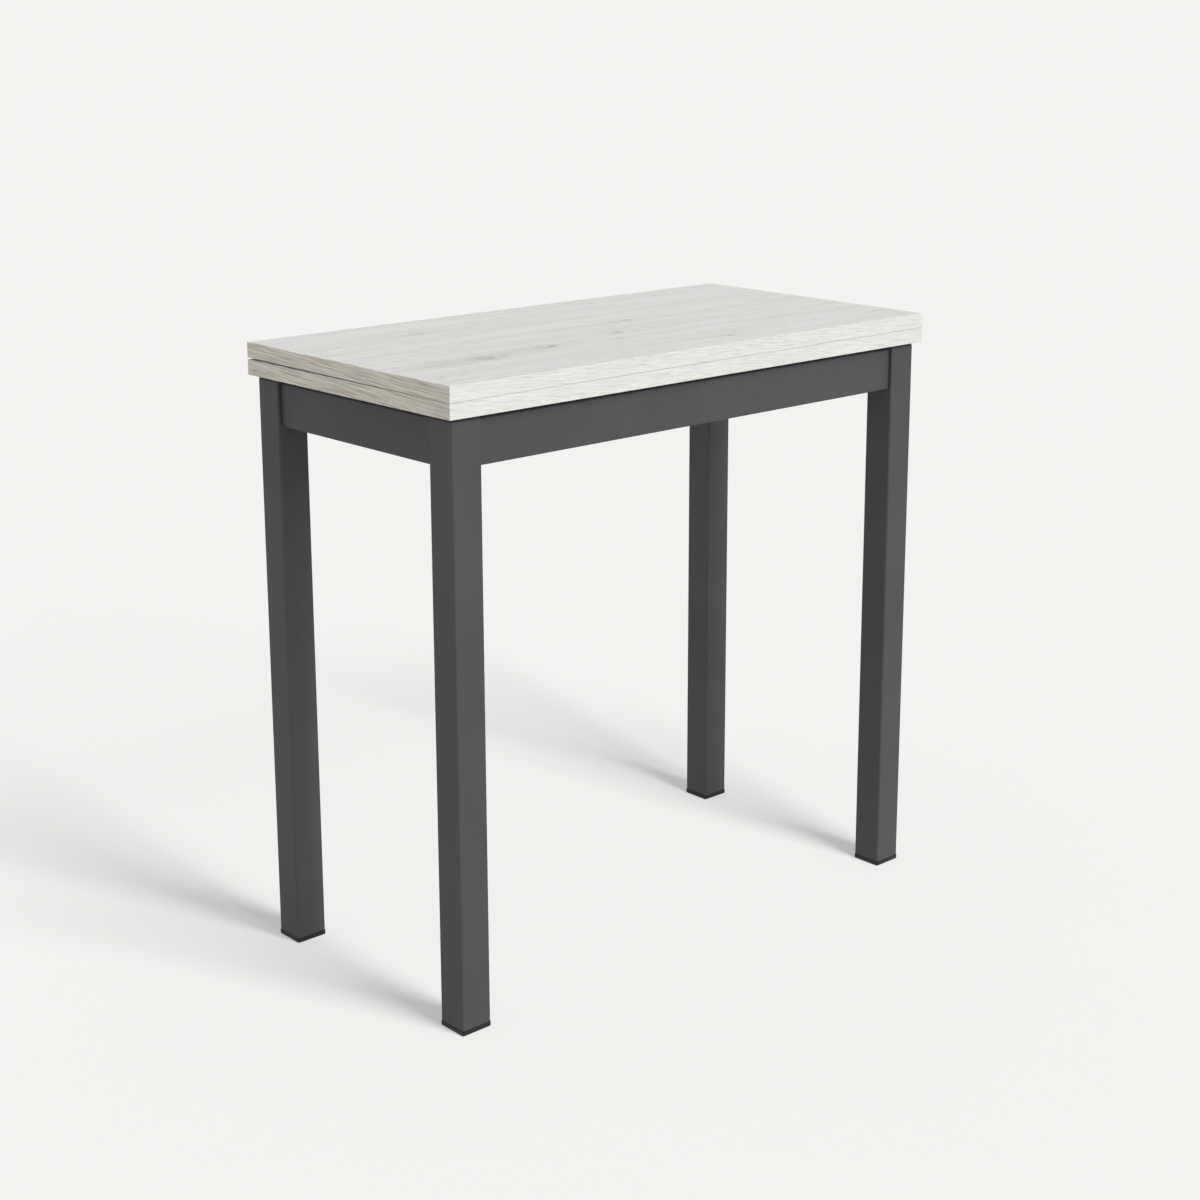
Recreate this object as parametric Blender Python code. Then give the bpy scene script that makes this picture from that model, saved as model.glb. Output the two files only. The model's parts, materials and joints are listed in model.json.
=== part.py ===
"""Book-type extending table on a powder-coated steel frame.

The top is two leaves that lie folded one on the other. To extend it, the lower leaf slides
forward by half its depth on two guide tracks, and the upper leaf then folds over through 180
degrees on double-pivot hinges and lies flush beside it.

Metres, +Z up. The origin is on the floor under the middle of the folded top, +X runs along the
long side and -Y faces the front. The table is modelled folded.
"""

import math

import bmesh
import bpy
from mathutils import Matrix, Vector

# Folded top
TOP_WIDTH = 0.800
TOP_DEPTH = 0.400
TABLE_HEIGHT = 0.780
LEAF_THICKNESS = 0.019
EDGE_BAND = 0.001
EDGE_BAND_ROUND = 0.0004
HINGE_SIDE_GAP = 0.0024
FRONT_SIDE_GAP = 0.0003

# Clearances
SEAT = 0.0003
GLUE_LINE = 0.0002
RUN = 0.0006
SWING = 0.0004

# Legs and what closes their ends
LEG_SIZE = 0.042
LEG_WALL = 0.0015
LEG_CORNER = 0.0025
LEG_INSET = 0.0085
FOOT_HEIGHT = 0.006
FOOT_PROUD = 0.0005
FOOT_EDGE = 0.001
FOOT_PLUG = 0.018
GLIDE_HEIGHT = 0.0038
GLIDE_SHY = 0.0005
GLIDE_EDGE = 0.0006
GLIDE_PLUG = 0.012
PLUG_WALL = 0.002
PLUG_RIB_HEIGHT = 0.0008
PLUG_RIB_WIDTH = 0.0016
PLUG_RIBS_PER_SIDE = 3

# Rails
RAIL_HEIGHT = 0.054
RAIL_THICKNESS = 0.020
RAIL_WALL = 0.0015
RAIL_CORNER = 0.002
RAIL_INSET = 0.005
RAIL_DROP = 0.0014

# Corner braces, which clamp each leg to its two rails
BRACE_STEEL = 0.0025
BRACE_MARGIN = 0.009
BRACE_FLANGE = 0.030
BRACE_BEND = 0.004
BRACE_CORNER = 0.006
BRACE_STANDOFF = 0.006
BRACE_SCREW_RADIUS = 0.0022
BOLT_RADIUS = 0.004
BOLT_HEAD_FLATS = 0.013
BOLT_HEAD_HEIGHT = 0.0053
BOLT_HEAD_CHAMFER = 0.0007
BOLT_COLLAR_RADIUS = 0.0085
BOLT_COLLAR_HEIGHT = 0.0014
BOLT_TIP_CHAMFER = 0.0008
BOLT_TAIL = 0.006
NUT_BLOCK_SIDE = 0.018
NUT_BLOCK_HEIGHT = 0.020

# Slide
TRACK_FROM_END = 0.160
TRACK_WIDTH = 0.028
TRACK_HEIGHT = 0.016
TRACK_WALL = 0.0015
TRACK_SLOT = 0.012
TRACK_TAB = 0.026
TRACK_TAB_CORNER = 0.004
TRACK_TAB_HOLE_RADIUS = 0.0024
TRACK_TAB_HOLE_SPACING = 0.014
STOP_LENGTH = 0.006
STOP_CORNER = 0.0015
RUNNER_END_CHAMFER = 0.0015
RUNNER_PLATE_WIDTH = 0.046
RUNNER_PLATE_STEEL = 0.003
RUNNER_PLATE_CORNER = 0.005
RUNNER_SCREW_RADIUS = 0.0022
RUNNER_SCREW_EDGE = 0.0048
RUNNER_SCREW_END = 0.010

# Double-pivot hinges, let into the inner faces of both leaves at the back edge
HINGE_FROM_END = 0.115
HINGE_WIDTH = 0.030
HINGE_LENGTH = 0.048
HINGE_PIN_DEPTH = 0.003
HINGE_PIN_RADIUS = 0.00125
HINGE_PIN_FIT = 0.0002
HINGE_PIN_CHAMFER = 0.0003
HINGE_BELOW_FACE = 0.0003
HINGE_PLATE = 0.0025
HINGE_LINK_WIDTH = 0.0124
HINGE_SCREW_RADIUS = 0.002
HINGE_SCREW_HEAD_RADIUS = 0.0041
HINGE_SCREW_SINK = 0.0018
HINGE_SCREW_PITCH = 0.017
HINGE_SCREW_NEAR = 0.014

ROUND_STEPS = 24
SMALL_ROUND_STEPS = 16
CORNER_STEPS = 3
TUBE_CORNER_STEPS = 6

# Heights and places that follow from the sizes above
UPPER_LEAF_BOTTOM = TABLE_HEIGHT - LEAF_THICKNESS
LOWER_LEAF_TOP = UPPER_LEAF_BOTTOM - HINGE_SIDE_GAP
LOWER_LEAF_BOTTOM = LOWER_LEAF_TOP - LEAF_THICKNESS
FRAME_TOP = LOWER_LEAF_BOTTOM - GLIDE_HEIGHT - 2 * SEAT
LEG_BOTTOM = FOOT_HEIGHT + SEAT
LEG_X = TOP_WIDTH / 2 - LEG_INSET - LEG_SIZE / 2
LEG_Y = TOP_DEPTH / 2 - LEG_INSET - LEG_SIZE / 2
LEG_BORE = LEG_SIZE - 2 * LEG_WALL
BRACE_Z = FRAME_TOP - RAIL_DROP - RAIL_HEIGHT / 2
BRACE_HEIGHT = RAIL_HEIGHT - 2 * BRACE_MARGIN

# Distance from a leg's axis in to the inner face of the rails beside it
RAIL_FACE = RAIL_INSET + RAIL_THICKNESS - LEG_SIZE / 2

HINGE_EYE_RADIUS = HINGE_PIN_DEPTH - HINGE_BELOW_FACE
PIN_Y = TOP_DEPTH / 2 - HINGE_PIN_DEPTH
LOWER_PIN_Z = LOWER_LEAF_TOP - HINGE_PIN_DEPTH
UPPER_PIN_Z = UPPER_LEAF_BOTTOM + HINGE_PIN_DEPTH
UPPER_LEAF_TILT = math.atan2(HINGE_SIDE_GAP - FRONT_SIDE_GAP, TOP_DEPTH - HINGE_PIN_DEPTH)
SLIDE_TRAVEL = TOP_DEPTH / 2

RUNNER_PLATE_BOTTOM = LOWER_LEAF_BOTTOM - SEAT - RUNNER_PLATE_STEEL
TRACK_BOTTOM = RUNNER_PLATE_BOTTOM - RUN - TRACK_HEIGHT
TRACK_LENGTH = 2 * (LEG_Y - RAIL_FACE - SEAT)
TRACK_FREE_LENGTH = TRACK_LENGTH - 2 * (SEAT + STOP_LENGTH)
RUNNER_LENGTH = TRACK_FREE_LENGTH - SLIDE_TRAVEL - 2 * RUN
RUNNER_Y = (TRACK_FREE_LENGTH - RUNNER_LENGTH) / 2 - RUN

SIDES = (("left", -1), ("right", 1))

# Colour, roughness and metallic value of each finish
FINISHES = {
    "oak_melamine": ((0.70, 0.69, 0.67), 0.50, 0.0),
    "oak_edge_band": ((0.75, 0.74, 0.69), 0.45, 0.0),
    "anthracite_steel": ((0.090, 0.087, 0.092), 0.50, 0.0),
    "black_plastic": ((0.018, 0.018, 0.018), 0.50, 0.0),
    "black_rubber": ((0.022, 0.022, 0.022), 0.80, 0.0),
    "white_nylon": ((0.74, 0.73, 0.69), 0.45, 0.0),
    "zinc_steel": ((0.60, 0.61, 0.62), 0.32, 1.0),
}


def clear_scene():
    for item in list(bpy.data.objects):
        bpy.data.objects.remove(item)


def finish(name):
    """The named finish as a material, made when it is first asked for."""
    material = bpy.data.materials.get(name)
    if material:
        return material
    colour, roughness, metallic = FINISHES[name]
    material = bpy.data.materials.new(name)
    material.use_nodes = True
    shader = material.node_tree.nodes["Principled BSDF"]
    shader.inputs["Base Color"].default_value = (*colour, 1.0)
    shader.inputs["Roughness"].default_value = roughness
    shader.inputs["Metallic"].default_value = metallic
    return material


def to_mesh(bm, name):
    bmesh.ops.recalc_face_normals(bm, faces=bm.faces[:])
    mesh = bpy.data.meshes.new(name)
    bm.to_mesh(mesh)
    bm.free()
    return mesh


def rounded_rectangle(width, depth, radius, steps=CORNER_STEPS):
    """Plan outline of a rectangle with round corners, middle at the origin."""
    points = []
    for quarter, (side_x, side_y) in enumerate(((1, 1), (-1, 1), (-1, -1), (1, -1))):
        middle = Vector((side_x * (width / 2 - radius), side_y * (depth / 2 - radius)))
        for step in range(steps + 1):
            angle = math.pi / 2 * (quarter + step / steps)
            points.append(middle + radius * Vector((math.cos(angle), math.sin(angle))))
    return points


def arc(middle, radius, start, end, steps):
    """Points on an arc, from the start angle to the end angle, both included."""
    points = []
    for step in range(steps + 1):
        angle = start + (end - start) * step / steps
        points.append(Vector(middle) + radius * Vector((math.cos(angle), math.sin(angle))))
    return points


def circle(radius, steps):
    return arc((0, 0), radius, 0, 2 * math.pi * (1 - 1 / steps), steps - 1)


def loft(rings, name):
    """A closed solid through plan outlines of as many points each, given with their heights."""
    bm = bmesh.new()
    loops = []
    for outline, height in rings:
        loops.append([bm.verts.new((point[0], point[1], height)) for point in outline])
    for low, high in zip(loops, loops[1:]):
        for index in range(len(low)):
            after = (index + 1) % len(low)
            bm.faces.new((low[index], low[after], high[after], high[index]))
    bm.faces.new(loops[0])
    bm.faces.new(loops[-1])
    return to_mesh(bm, name)


def prism(outline, low, high, name):
    return loft(((outline, low), (outline, high)), name)


def block(low, high, name):
    """A box between two opposite corners."""
    outline = ((low[0], low[1]), (high[0], low[1]), (high[0], high[1]), (low[0], high[1]))
    return prism(outline, low[2], high[2], name)


def tube(outer, inner, length, name):
    """An open-ended tube along Z, its wall bridged between two outlines and then raised."""
    bm = bmesh.new()
    edges = []
    for outline in (outer, inner):
        loop = [bm.verts.new((point[0], point[1], -length / 2)) for point in outline]
        edges += [bm.edges.new((loop[i - 1], loop[i])) for i in range(len(loop))]
    wall = bmesh.ops.bridge_loops(bm, edges=edges)["faces"]
    raised = bmesh.ops.extrude_face_region(bm, geom=wall)["geom"]
    top = [item for item in raised if isinstance(item, bmesh.types.BMVert)]
    bmesh.ops.translate(bm, vec=(0, 0, length), verts=top)
    return to_mesh(bm, name)


def along_x(mesh):
    """Lay a mesh made along Z down along X, its own X downwards."""
    mesh.transform(Matrix.Rotation(math.pi / 2, 4, "Y"))
    return mesh


def along_y(mesh):
    """Lay a mesh made along Z down along -Y, its own Y upwards."""
    mesh.transform(Matrix.Rotation(math.pi / 2, 4, "X"))
    return mesh


def across(profile, half_length, name):
    """A solid along X with the given (y, z) section."""
    return along_x(prism([(-z, y) for y, z in profile], -half_length, half_length, name))


def lengthwise(profile, half_length, name):
    """A solid along Y with the given (x, z) section."""
    return along_y(prism(profile, -half_length, half_length, name))


def moved(mesh, x=0.0, y=0.0, z=0.0):
    mesh.transform(Matrix.Translation((x, y, z)))
    return mesh


def combined(base, tools, operation="DIFFERENCE"):
    """The base mesh cut by the tools, joined to them or kept only inside them."""
    for tool in tools:
        target = bpy.data.objects.new("boolean_base", base)
        other = bpy.data.objects.new("boolean_tool", tool)
        for item in (target, other):
            bpy.context.collection.objects.link(item)
        modifier = target.modifiers.new("boolean", "BOOLEAN")
        modifier.operation = operation
        modifier.solver = "EXACT"
        modifier.object = other
        graph = bpy.context.evaluated_depsgraph_get()
        shaped = bpy.data.meshes.new_from_object(target.evaluated_get(graph))
        shaped.name = base.name
        for item in (target, other):
            bpy.data.objects.remove(item)
        for used in (base, tool):
            bpy.data.meshes.remove(used)
        base = shaped
    return base


def smooth_rounds(mesh):
    mesh.shade_smooth()
    mesh.set_sharp_from_angle(angle=math.radians(35))
    return mesh


def place(name, mesh, material, location, turn=(0, 0, 0), parent=None):
    """Put a mesh in the scene as a named piece, at a place given in the table's frame."""
    piece = bpy.data.objects.new(name, mesh)
    bpy.context.collection.objects.link(piece)
    if not mesh.materials:
        mesh.materials.append(finish(material))
    piece.location = Vector(location)
    piece.rotation_euler = turn
    if parent:
        piece.parent = parent
        piece.location -= parent.location
    return piece


def joint_empty(name, location, tilt=0.0):
    empty = bpy.data.objects.new(name, None)
    bpy.context.collection.objects.link(empty)
    empty.location = location
    empty.rotation_euler = (tilt, 0, 0)
    return empty


def corners():
    """Each corner's name, its leg axis on plan and its turn.

    Turned so, a corner piece's own +X and +Y run along its two rails.
    """
    places = (
        ("front_left", -LEG_X, -LEG_Y),
        ("front_right", LEG_X, -LEG_Y),
        ("back_right", LEG_X, LEG_Y),
        ("back_left", -LEG_X, LEG_Y),
    )
    for quarter, (name, x, y) in enumerate(places):
        yield name, x, y, (0, 0, quarter * math.pi / 2)


def ribbed_square(size):
    """Plan outline of an end plug whose ribs reach out to the given size."""
    half = size / 2 - PLUG_RIB_HEIGHT
    outline = []
    for quarter in range(4):
        turn = Matrix.Rotation(quarter * math.pi / 2, 2)
        side = [(-half, -half)]
        for rib in range(PLUG_RIBS_PER_SIDE):
            middle = 2 * half * ((rib + 1) / (PLUG_RIBS_PER_SIDE + 1) - 0.5)
            low, high = middle - PLUG_RIB_WIDTH / 2, middle + PLUG_RIB_WIDTH / 2
            out = -size / 2
            side += [(low, -half), (low, out), (high, out), (high, -half)]
        outline += [turn @ Vector(point) for point in side]
    return outline


def end_cap(size, height, edge, plug_depth, corner_steps, name):
    """A moulded tube cap: a flange below z = 0 and a hollow ribbed plug above it."""
    small = rounded_rectangle(size - 2 * edge, size - 2 * edge, LEG_CORNER, corner_steps)
    full = rounded_rectangle(size, size, LEG_CORNER, corner_steps)
    flange = loft(((small, -height), (full, edge - height), (full, 0)), name)
    plug = prism(ribbed_square(LEG_BORE - 2 * SEAT), -height / 2, plug_depth, "plug")
    hollow = LEG_BORE - 2 * (SEAT + PLUG_RIB_HEIGHT + PLUG_WALL)
    bore = block((-hollow / 2, -hollow / 2, 0), (hollow / 2, hollow / 2, 2 * plug_depth), "bore")
    return combined(combined(flange, [plug], "UNION"), [bore])


def corner_diagonal(mesh, distance):
    """Turn a mesh made along Z to point from the table's middle to the leg, at a distance from it."""
    inward = Vector((1, 1, 0)).normalized()
    mesh.transform(Vector((0, 0, 1)).rotation_difference(-inward).to_matrix().to_4x4())
    return moved(mesh, *(inward * distance))


def build_legs():
    length = FRAME_TOP - LEG_BOTTOM
    outer = rounded_rectangle(LEG_SIZE, LEG_SIZE, LEG_CORNER, TUBE_CORNER_STEPS)
    inner = rounded_rectangle(LEG_BORE, LEG_BORE, LEG_CORNER - LEG_WALL, TUBE_CORNER_STEPS)
    leg = moved(tube(outer, inner, length, "leg"), z=LEG_BOTTOM + length / 2)
    leg = smooth_rounds(combined(leg, [moved(bolt_clearance_hole(), z=BRACE_Z)]))
    foot_size = LEG_SIZE + 2 * FOOT_PROUD
    foot = end_cap(foot_size, FOOT_HEIGHT, FOOT_EDGE, FOOT_PLUG, TUBE_CORNER_STEPS, "foot_cap")
    glide_size = LEG_SIZE - 2 * GLIDE_SHY
    glide = end_cap(glide_size, GLIDE_HEIGHT, GLIDE_EDGE, GLIDE_PLUG, CORNER_STEPS, "glide_cap")
    for name, x, y, turn in corners():
        place(f"leg_{name}", leg, "anthracite_steel", (x, y, 0), turn)
        place(f"foot_cap_{name}", foot, "black_plastic", (x, y, FOOT_HEIGHT), turn)
        place(f"glide_cap_{name}", glide, "black_plastic", (x, y, FRAME_TOP + SEAT), (math.pi, 0, 0))


def rail_mesh(length, name):
    outer = rounded_rectangle(RAIL_HEIGHT, RAIL_THICKNESS, RAIL_CORNER, TUBE_CORNER_STEPS)
    bore_height, bore_depth = RAIL_HEIGHT - 2 * RAIL_WALL, RAIL_THICKNESS - 2 * RAIL_WALL
    inner = rounded_rectangle(bore_height, bore_depth, RAIL_CORNER - RAIL_WALL, TUBE_CORNER_STEPS)
    return smooth_rounds(along_x(tube(outer, inner, length, name)))


def build_rails():
    middle = RAIL_FACE - RAIL_THICKNESS / 2
    gap = LEG_SIZE / 2 + SEAT
    long_rail = rail_mesh(2 * (LEG_X - gap), "long_rail")
    end_rail = rail_mesh(2 * (LEG_Y - gap), "end_rail")
    rail_x, rail_y = LEG_X - middle, LEG_Y - middle
    place("rail_front", long_rail, "anthracite_steel", (0, -rail_y, BRACE_Z))
    place("rail_back", long_rail, "anthracite_steel", (0, rail_y, BRACE_Z), (0, 0, math.pi))
    place("rail_right", end_rail, "anthracite_steel", (rail_x, 0, BRACE_Z), (0, 0, math.pi / 2))
    place("rail_left", end_rail, "anthracite_steel", (-rail_x, 0, BRACE_Z), (0, 0, -math.pi / 2))


def brace_outline(near, web_sum):
    """Plan outline of a strip bent twice through 45 degrees: flange, web and flange.

    The flanges lie at near from the leg's axis, and x + y is web_sum on the web's leg side. Both
    halves mirror each other in the corner's diagonal.
    """
    outside = BRACE_BEND + BRACE_STEEL
    middle_y = near + outside
    bend = Vector((web_sum + outside * math.sqrt(2) - middle_y, middle_y))
    flange, web = -math.pi / 2, -3 * math.pi / 4
    rail_half = [Vector((bend.x + BRACE_FLANGE, near))]
    rail_half += arc(bend, outside, flange, web, CORNER_STEPS)
    free_half = arc(bend, BRACE_BEND, web, flange, CORNER_STEPS)
    free_half += [Vector((bend.x + BRACE_FLANGE, near + BRACE_STEEL))]
    swapped_rail = [point.yx for point in reversed(rail_half)]
    swapped_free = [point.yx for point in reversed(free_half)]
    return rail_half + swapped_rail + swapped_free + free_half


def flange_trim(reach):
    """What the brace keeps: all up to reach along X, less the two corners of the flange that ends there."""
    outline = rounded_rectangle(2 * reach, BRACE_HEIGHT, BRACE_CORNER)
    return along_y(prism(outline, -2 * reach, 2 * reach, "flange_trim"))


def bolt_clearance_hole():
    """A cutter along the corner's diagonal, from well inside the table to the leg's axis."""
    hole = prism(circle(BOLT_RADIUS + SWING, SMALL_ROUND_STEPS), 0, 2 * LEG_SIZE, "bolt_hole")
    return corner_diagonal(hole, 2 * LEG_SIZE)


def brace_mesh(near, web_sum):
    outline = brace_outline(near, web_sum)
    brace = prism(outline, -BRACE_HEIGHT / 2, BRACE_HEIGHT / 2, "corner_brace")
    reach = outline[0].x
    cutters = [bolt_clearance_hole()]
    for quarter in (0, 1):
        turn = Matrix.Rotation(quarter * math.pi / 2, 4, "Z")
        trim = flange_trim(reach)
        trim.transform(turn)
        brace = combined(brace, [trim], "INTERSECT")
        for side in (-1, 1):
            screw = circle(BRACE_SCREW_RADIUS, SMALL_ROUND_STEPS)
            hole = along_y(prism(screw, -LEG_SIZE, LEG_SIZE, "screw_hole"))
            hole = moved(hole, x=reach - BRACE_FLANGE / 2, z=side * BRACE_HEIGHT / 4)
            hole.transform(turn)
            cutters.append(hole)
    return combined(brace, cutters)


def bolt_mesh(shank):
    """A flanged hex bolt along Z, its seat at z = 0 and its shank upwards."""
    tip = BOLT_RADIUS - BOLT_TIP_CHAMFER
    rings = (
        (circle(BOLT_COLLAR_RADIUS, ROUND_STEPS), -BOLT_COLLAR_HEIGHT),
        (circle(BOLT_COLLAR_RADIUS, ROUND_STEPS), 0),
        (circle(BOLT_RADIUS, ROUND_STEPS), 0),
        (circle(BOLT_RADIUS, ROUND_STEPS), shank - BOLT_TIP_CHAMFER),
        (circle(tip, ROUND_STEPS), shank),
    )
    head_low, head_high = -BOLT_COLLAR_HEIGHT - BOLT_HEAD_HEIGHT, -BOLT_COLLAR_HEIGHT / 2
    point = BOLT_HEAD_FLATS / math.sqrt(3)
    head = prism(circle(point, 6), head_low, head_high, "head")
    turned = (
        (circle(point - 2 * BOLT_HEAD_CHAMFER, ROUND_STEPS), head_low - SEAT),
        (circle(point, ROUND_STEPS), head_low + BOLT_HEAD_CHAMFER),
        (circle(2 * point, ROUND_STEPS), head_high + SEAT),
    )
    head = combined(head, [loft(turned, "turned_head")], "INTERSECT")
    return smooth_rounds(combined(loft(rings, "corner_bolt"), [head], "UNION"))


def nut_block_mesh(wall):
    """A wedge that fills the tube's inner corner and takes the bolt's thread."""
    blunt = LEG_CORNER - LEG_WALL
    outline = (
        (wall, wall - NUT_BLOCK_SIDE),
        (wall, wall - blunt),
        (wall - blunt, wall),
        (wall - NUT_BLOCK_SIDE, wall),
    )
    wedge = prism(outline, -NUT_BLOCK_HEIGHT / 2, NUT_BLOCK_HEIGHT / 2, "nut_block")
    return combined(wedge, [bolt_clearance_hole()])


def build_corner_joints():
    """Brace, bolt and nut block at each corner."""
    web_sum = LEG_SIZE + BRACE_STANDOFF * math.sqrt(2)
    brace = brace_mesh(RAIL_FACE + SEAT, web_sum)
    bore_wall = LEG_BORE / 2 - SEAT
    nut_face = (2 * bore_wall - NUT_BLOCK_SIDE) / math.sqrt(2)
    nut_block = nut_block_mesh(bore_wall)
    head_seat = web_sum / math.sqrt(2) + BRACE_STEEL + SEAT
    bolt = corner_diagonal(bolt_mesh(head_seat - nut_face + BOLT_TAIL), head_seat)
    for name, x, y, turn in corners():
        place(f"corner_brace_{name}", brace, "zinc_steel", (x, y, BRACE_Z), turn)
        place(f"corner_bolt_{name}", bolt, "zinc_steel", (x, y, BRACE_Z), turn)
        place(f"nut_block_{name}", nut_block, "zinc_steel", (x, y, BRACE_Z), turn)


def track_mesh():
    """A C-section track along Y, open upwards, with a tab turned down at each end for the rails."""
    half, wall, top = TRACK_WIDTH / 2, TRACK_WALL, TRACK_HEIGHT
    right = [
        (half, 0),
        (half, top),
        (TRACK_SLOT / 2, top),
        (TRACK_SLOT / 2, top - wall),
        (half - wall, top - wall),
        (half - wall, wall),
    ]
    left = [(-x, z) for x, z in reversed(right)]
    track = lengthwise(right + left, TRACK_LENGTH / 2, "guide_track")
    for end in (-1, 1):
        y = end * (TRACK_LENGTH / 2 - wall / 2)
        outline = [(half, wall / 2), (-half, wall / 2)]
        for side in (-1, 1):
            middle = (side * (half - TRACK_TAB_CORNER), TRACK_TAB_CORNER - TRACK_TAB)
            start = -math.pi / 2 + (side - 1) * math.pi / 4
            outline += arc(middle, TRACK_TAB_CORNER, start, start + math.pi / 2, CORNER_STEPS)
        tab = moved(lengthwise(outline, wall / 2, "tab"), y=y)
        holes = []
        for side in (-1, 1):
            hole = prism(circle(TRACK_TAB_HOLE_RADIUS, SMALL_ROUND_STEPS), -2 * wall, 2 * wall, "hole")
            x = side * TRACK_TAB_HOLE_SPACING / 2
            holes.append(moved(along_y(hole), x=x, y=y, z=-TRACK_TAB / 2))
        track = combined(track, [combined(tab, holes)], "UNION")
    return track


def runner_outline(shrink):
    """Section of the runner above the track's underside: a head in the channel, a neck in the slot."""
    head = TRACK_WIDTH / 2 - TRACK_WALL - RUN - shrink
    neck = TRACK_SLOT / 2 - RUN - shrink
    low = TRACK_WALL + RUN + shrink
    shoulder = TRACK_HEIGHT - TRACK_WALL - RUN - shrink
    top = TRACK_HEIGHT + RUN - SEAT
    right = [(head, low), (head, shoulder), (neck, shoulder), (neck, top)]
    return right + [(-x, z) for x, z in reversed(right)]


def runner_mesh():
    """A moulded runner with its ends drawn in, so that it enters the channel easily."""
    half, chamfer = RUNNER_LENGTH / 2, RUNNER_END_CHAMFER
    full, small = runner_outline(0), runner_outline(chamfer)
    rings = ((small, -half), (full, chamfer - half), (full, half - chamfer), (small, half))
    return along_y(loft(rings, "runner"))


def runner_plate_mesh():
    """The steel plate between a runner and the lower leaf, with its screw holes beside the track."""
    outline = rounded_rectangle(RUNNER_PLATE_WIDTH, RUNNER_LENGTH, RUNNER_PLATE_CORNER)
    plate = prism(outline, 0, RUNNER_PLATE_STEEL, "runner_plate")
    holes = []
    for side_x in (-1, 1):
        for side_y in (-1, 1):
            screw = circle(RUNNER_SCREW_RADIUS, SMALL_ROUND_STEPS)
            hole = prism(screw, -SEAT, 2 * RUNNER_PLATE_STEEL, "hole")
            x = side_x * (RUNNER_PLATE_WIDTH / 2 - RUNNER_SCREW_EDGE)
            holes.append(moved(hole, x=x, y=side_y * (RUNNER_LENGTH / 2 - RUNNER_SCREW_END)))
    return combined(plate, holes)


def stop_mesh():
    width = TRACK_WIDTH - 2 * (TRACK_WALL + SEAT)
    height = TRACK_HEIGHT - 2 * (TRACK_WALL + SEAT)
    outline = rounded_rectangle(width, height, STOP_CORNER)
    return along_y(prism(outline, -STOP_LENGTH / 2, STOP_LENGTH / 2, "track_stop"))


def build_slide(lower_leaf):
    track, runner, plate, stop = track_mesh(), runner_mesh(), runner_plate_mesh(), stop_mesh()
    stop_y = TRACK_LENGTH / 2 - SEAT - STOP_LENGTH / 2
    for name, side in SIDES:
        x = side * (TOP_WIDTH / 2 - TRACK_FROM_END)
        place(f"guide_track_{name}", track, "zinc_steel", (x, 0, TRACK_BOTTOM))
        middle = TRACK_BOTTOM + TRACK_HEIGHT / 2
        place(f"track_stop_front_{name}", stop, "black_rubber", (x, -stop_y, middle))
        place(f"track_stop_back_{name}", stop, "black_rubber", (x, stop_y, middle))
        place(f"runner_{name}", runner, "white_nylon", (x, RUNNER_Y, TRACK_BOTTOM), parent=lower_leaf)
        plate_at = (x, RUNNER_Y, RUNNER_PLATE_BOTTOM)
        place(f"runner_plate_{name}", plate, "zinc_steel", plate_at, parent=lower_leaf)


def bullet(half_width, length, front):
    """Plan outline of a hinge plate: square towards the leaf's edge, round at its inner end."""
    middle = (0, half_width - length)
    inner_end = arc(middle, half_width, 0, -math.pi, ROUND_STEPS // 2)
    return [(half_width, front)] + inner_end + [(-half_width, front)]


def hinge_plate_mesh():
    """One hinge plate, seen from its pin: the leaf lies towards -Y and the leaf's inner face up."""
    top, bottom = HINGE_EYE_RADIUS, HINGE_EYE_RADIUS - HINGE_PLATE
    beyond = 2 * HINGE_LENGTH
    profile = [(-beyond, top)]
    profile += arc((0, 0), HINGE_EYE_RADIUS, math.pi / 2, -math.pi, SMALL_ROUND_STEPS)
    profile += [(-HINGE_EYE_RADIUS, bottom), (-beyond, bottom)]
    plate = across(profile, HINGE_WIDTH, "hinge_plate")
    outline = bullet(HINGE_WIDTH / 2, HINGE_LENGTH, HINGE_LENGTH)
    plate = combined(plate, [prism(outline, -HINGE_LENGTH, HINGE_LENGTH, "outline")], "INTERSECT")
    slot_x = HINGE_LINK_WIDTH / 2 + SEAT
    slot_y = HINGE_EYE_RADIUS + SWING
    slot = block((-slot_x, -slot_y, -beyond), (slot_x, beyond, beyond), "slot")
    cutters = [slot, pin_bore()]
    screws = [(side * HINGE_SCREW_PITCH / 2, -HINGE_SCREW_NEAR) for side in (-1, 1)]
    screws.append((0, HINGE_WIDTH / 2 - HINGE_LENGTH))
    for x, y in screws:
        cutters.append(moved(countersink(top), x=x, y=y))
    return smooth_rounds(combined(plate, cutters))


def pin_bore():
    outline = circle(HINGE_PIN_RADIUS + HINGE_PIN_FIT, SMALL_ROUND_STEPS)
    return along_x(prism(outline, -HINGE_WIDTH, HINGE_WIDTH, "bore"))


def countersink(face):
    """A cutter for a countersunk screw whose head lies flush with the given height."""
    hole = circle(HINGE_SCREW_RADIUS, SMALL_ROUND_STEPS)
    head = circle(HINGE_SCREW_HEAD_RADIUS, SMALL_ROUND_STEPS)
    rings = ((hole, -face), (hole, face - HINGE_SCREW_SINK), (head, face), (head, 2 * face))
    return loft(rings, "countersink")


def hinge_link_mesh():
    """The link between the two pins, its lower pin at the origin and its upper pin above it."""
    reach = UPPER_PIN_Z - LOWER_PIN_Z
    profile = arc((0, 0), HINGE_EYE_RADIUS, -math.pi, 0, SMALL_ROUND_STEPS)
    profile += arc((0, reach), HINGE_EYE_RADIUS, 0, math.pi, SMALL_ROUND_STEPS)
    link = across(profile, HINGE_LINK_WIDTH / 2, "hinge_link")
    return smooth_rounds(combined(link, [pin_bore(), moved(pin_bore(), z=reach)]))


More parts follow.
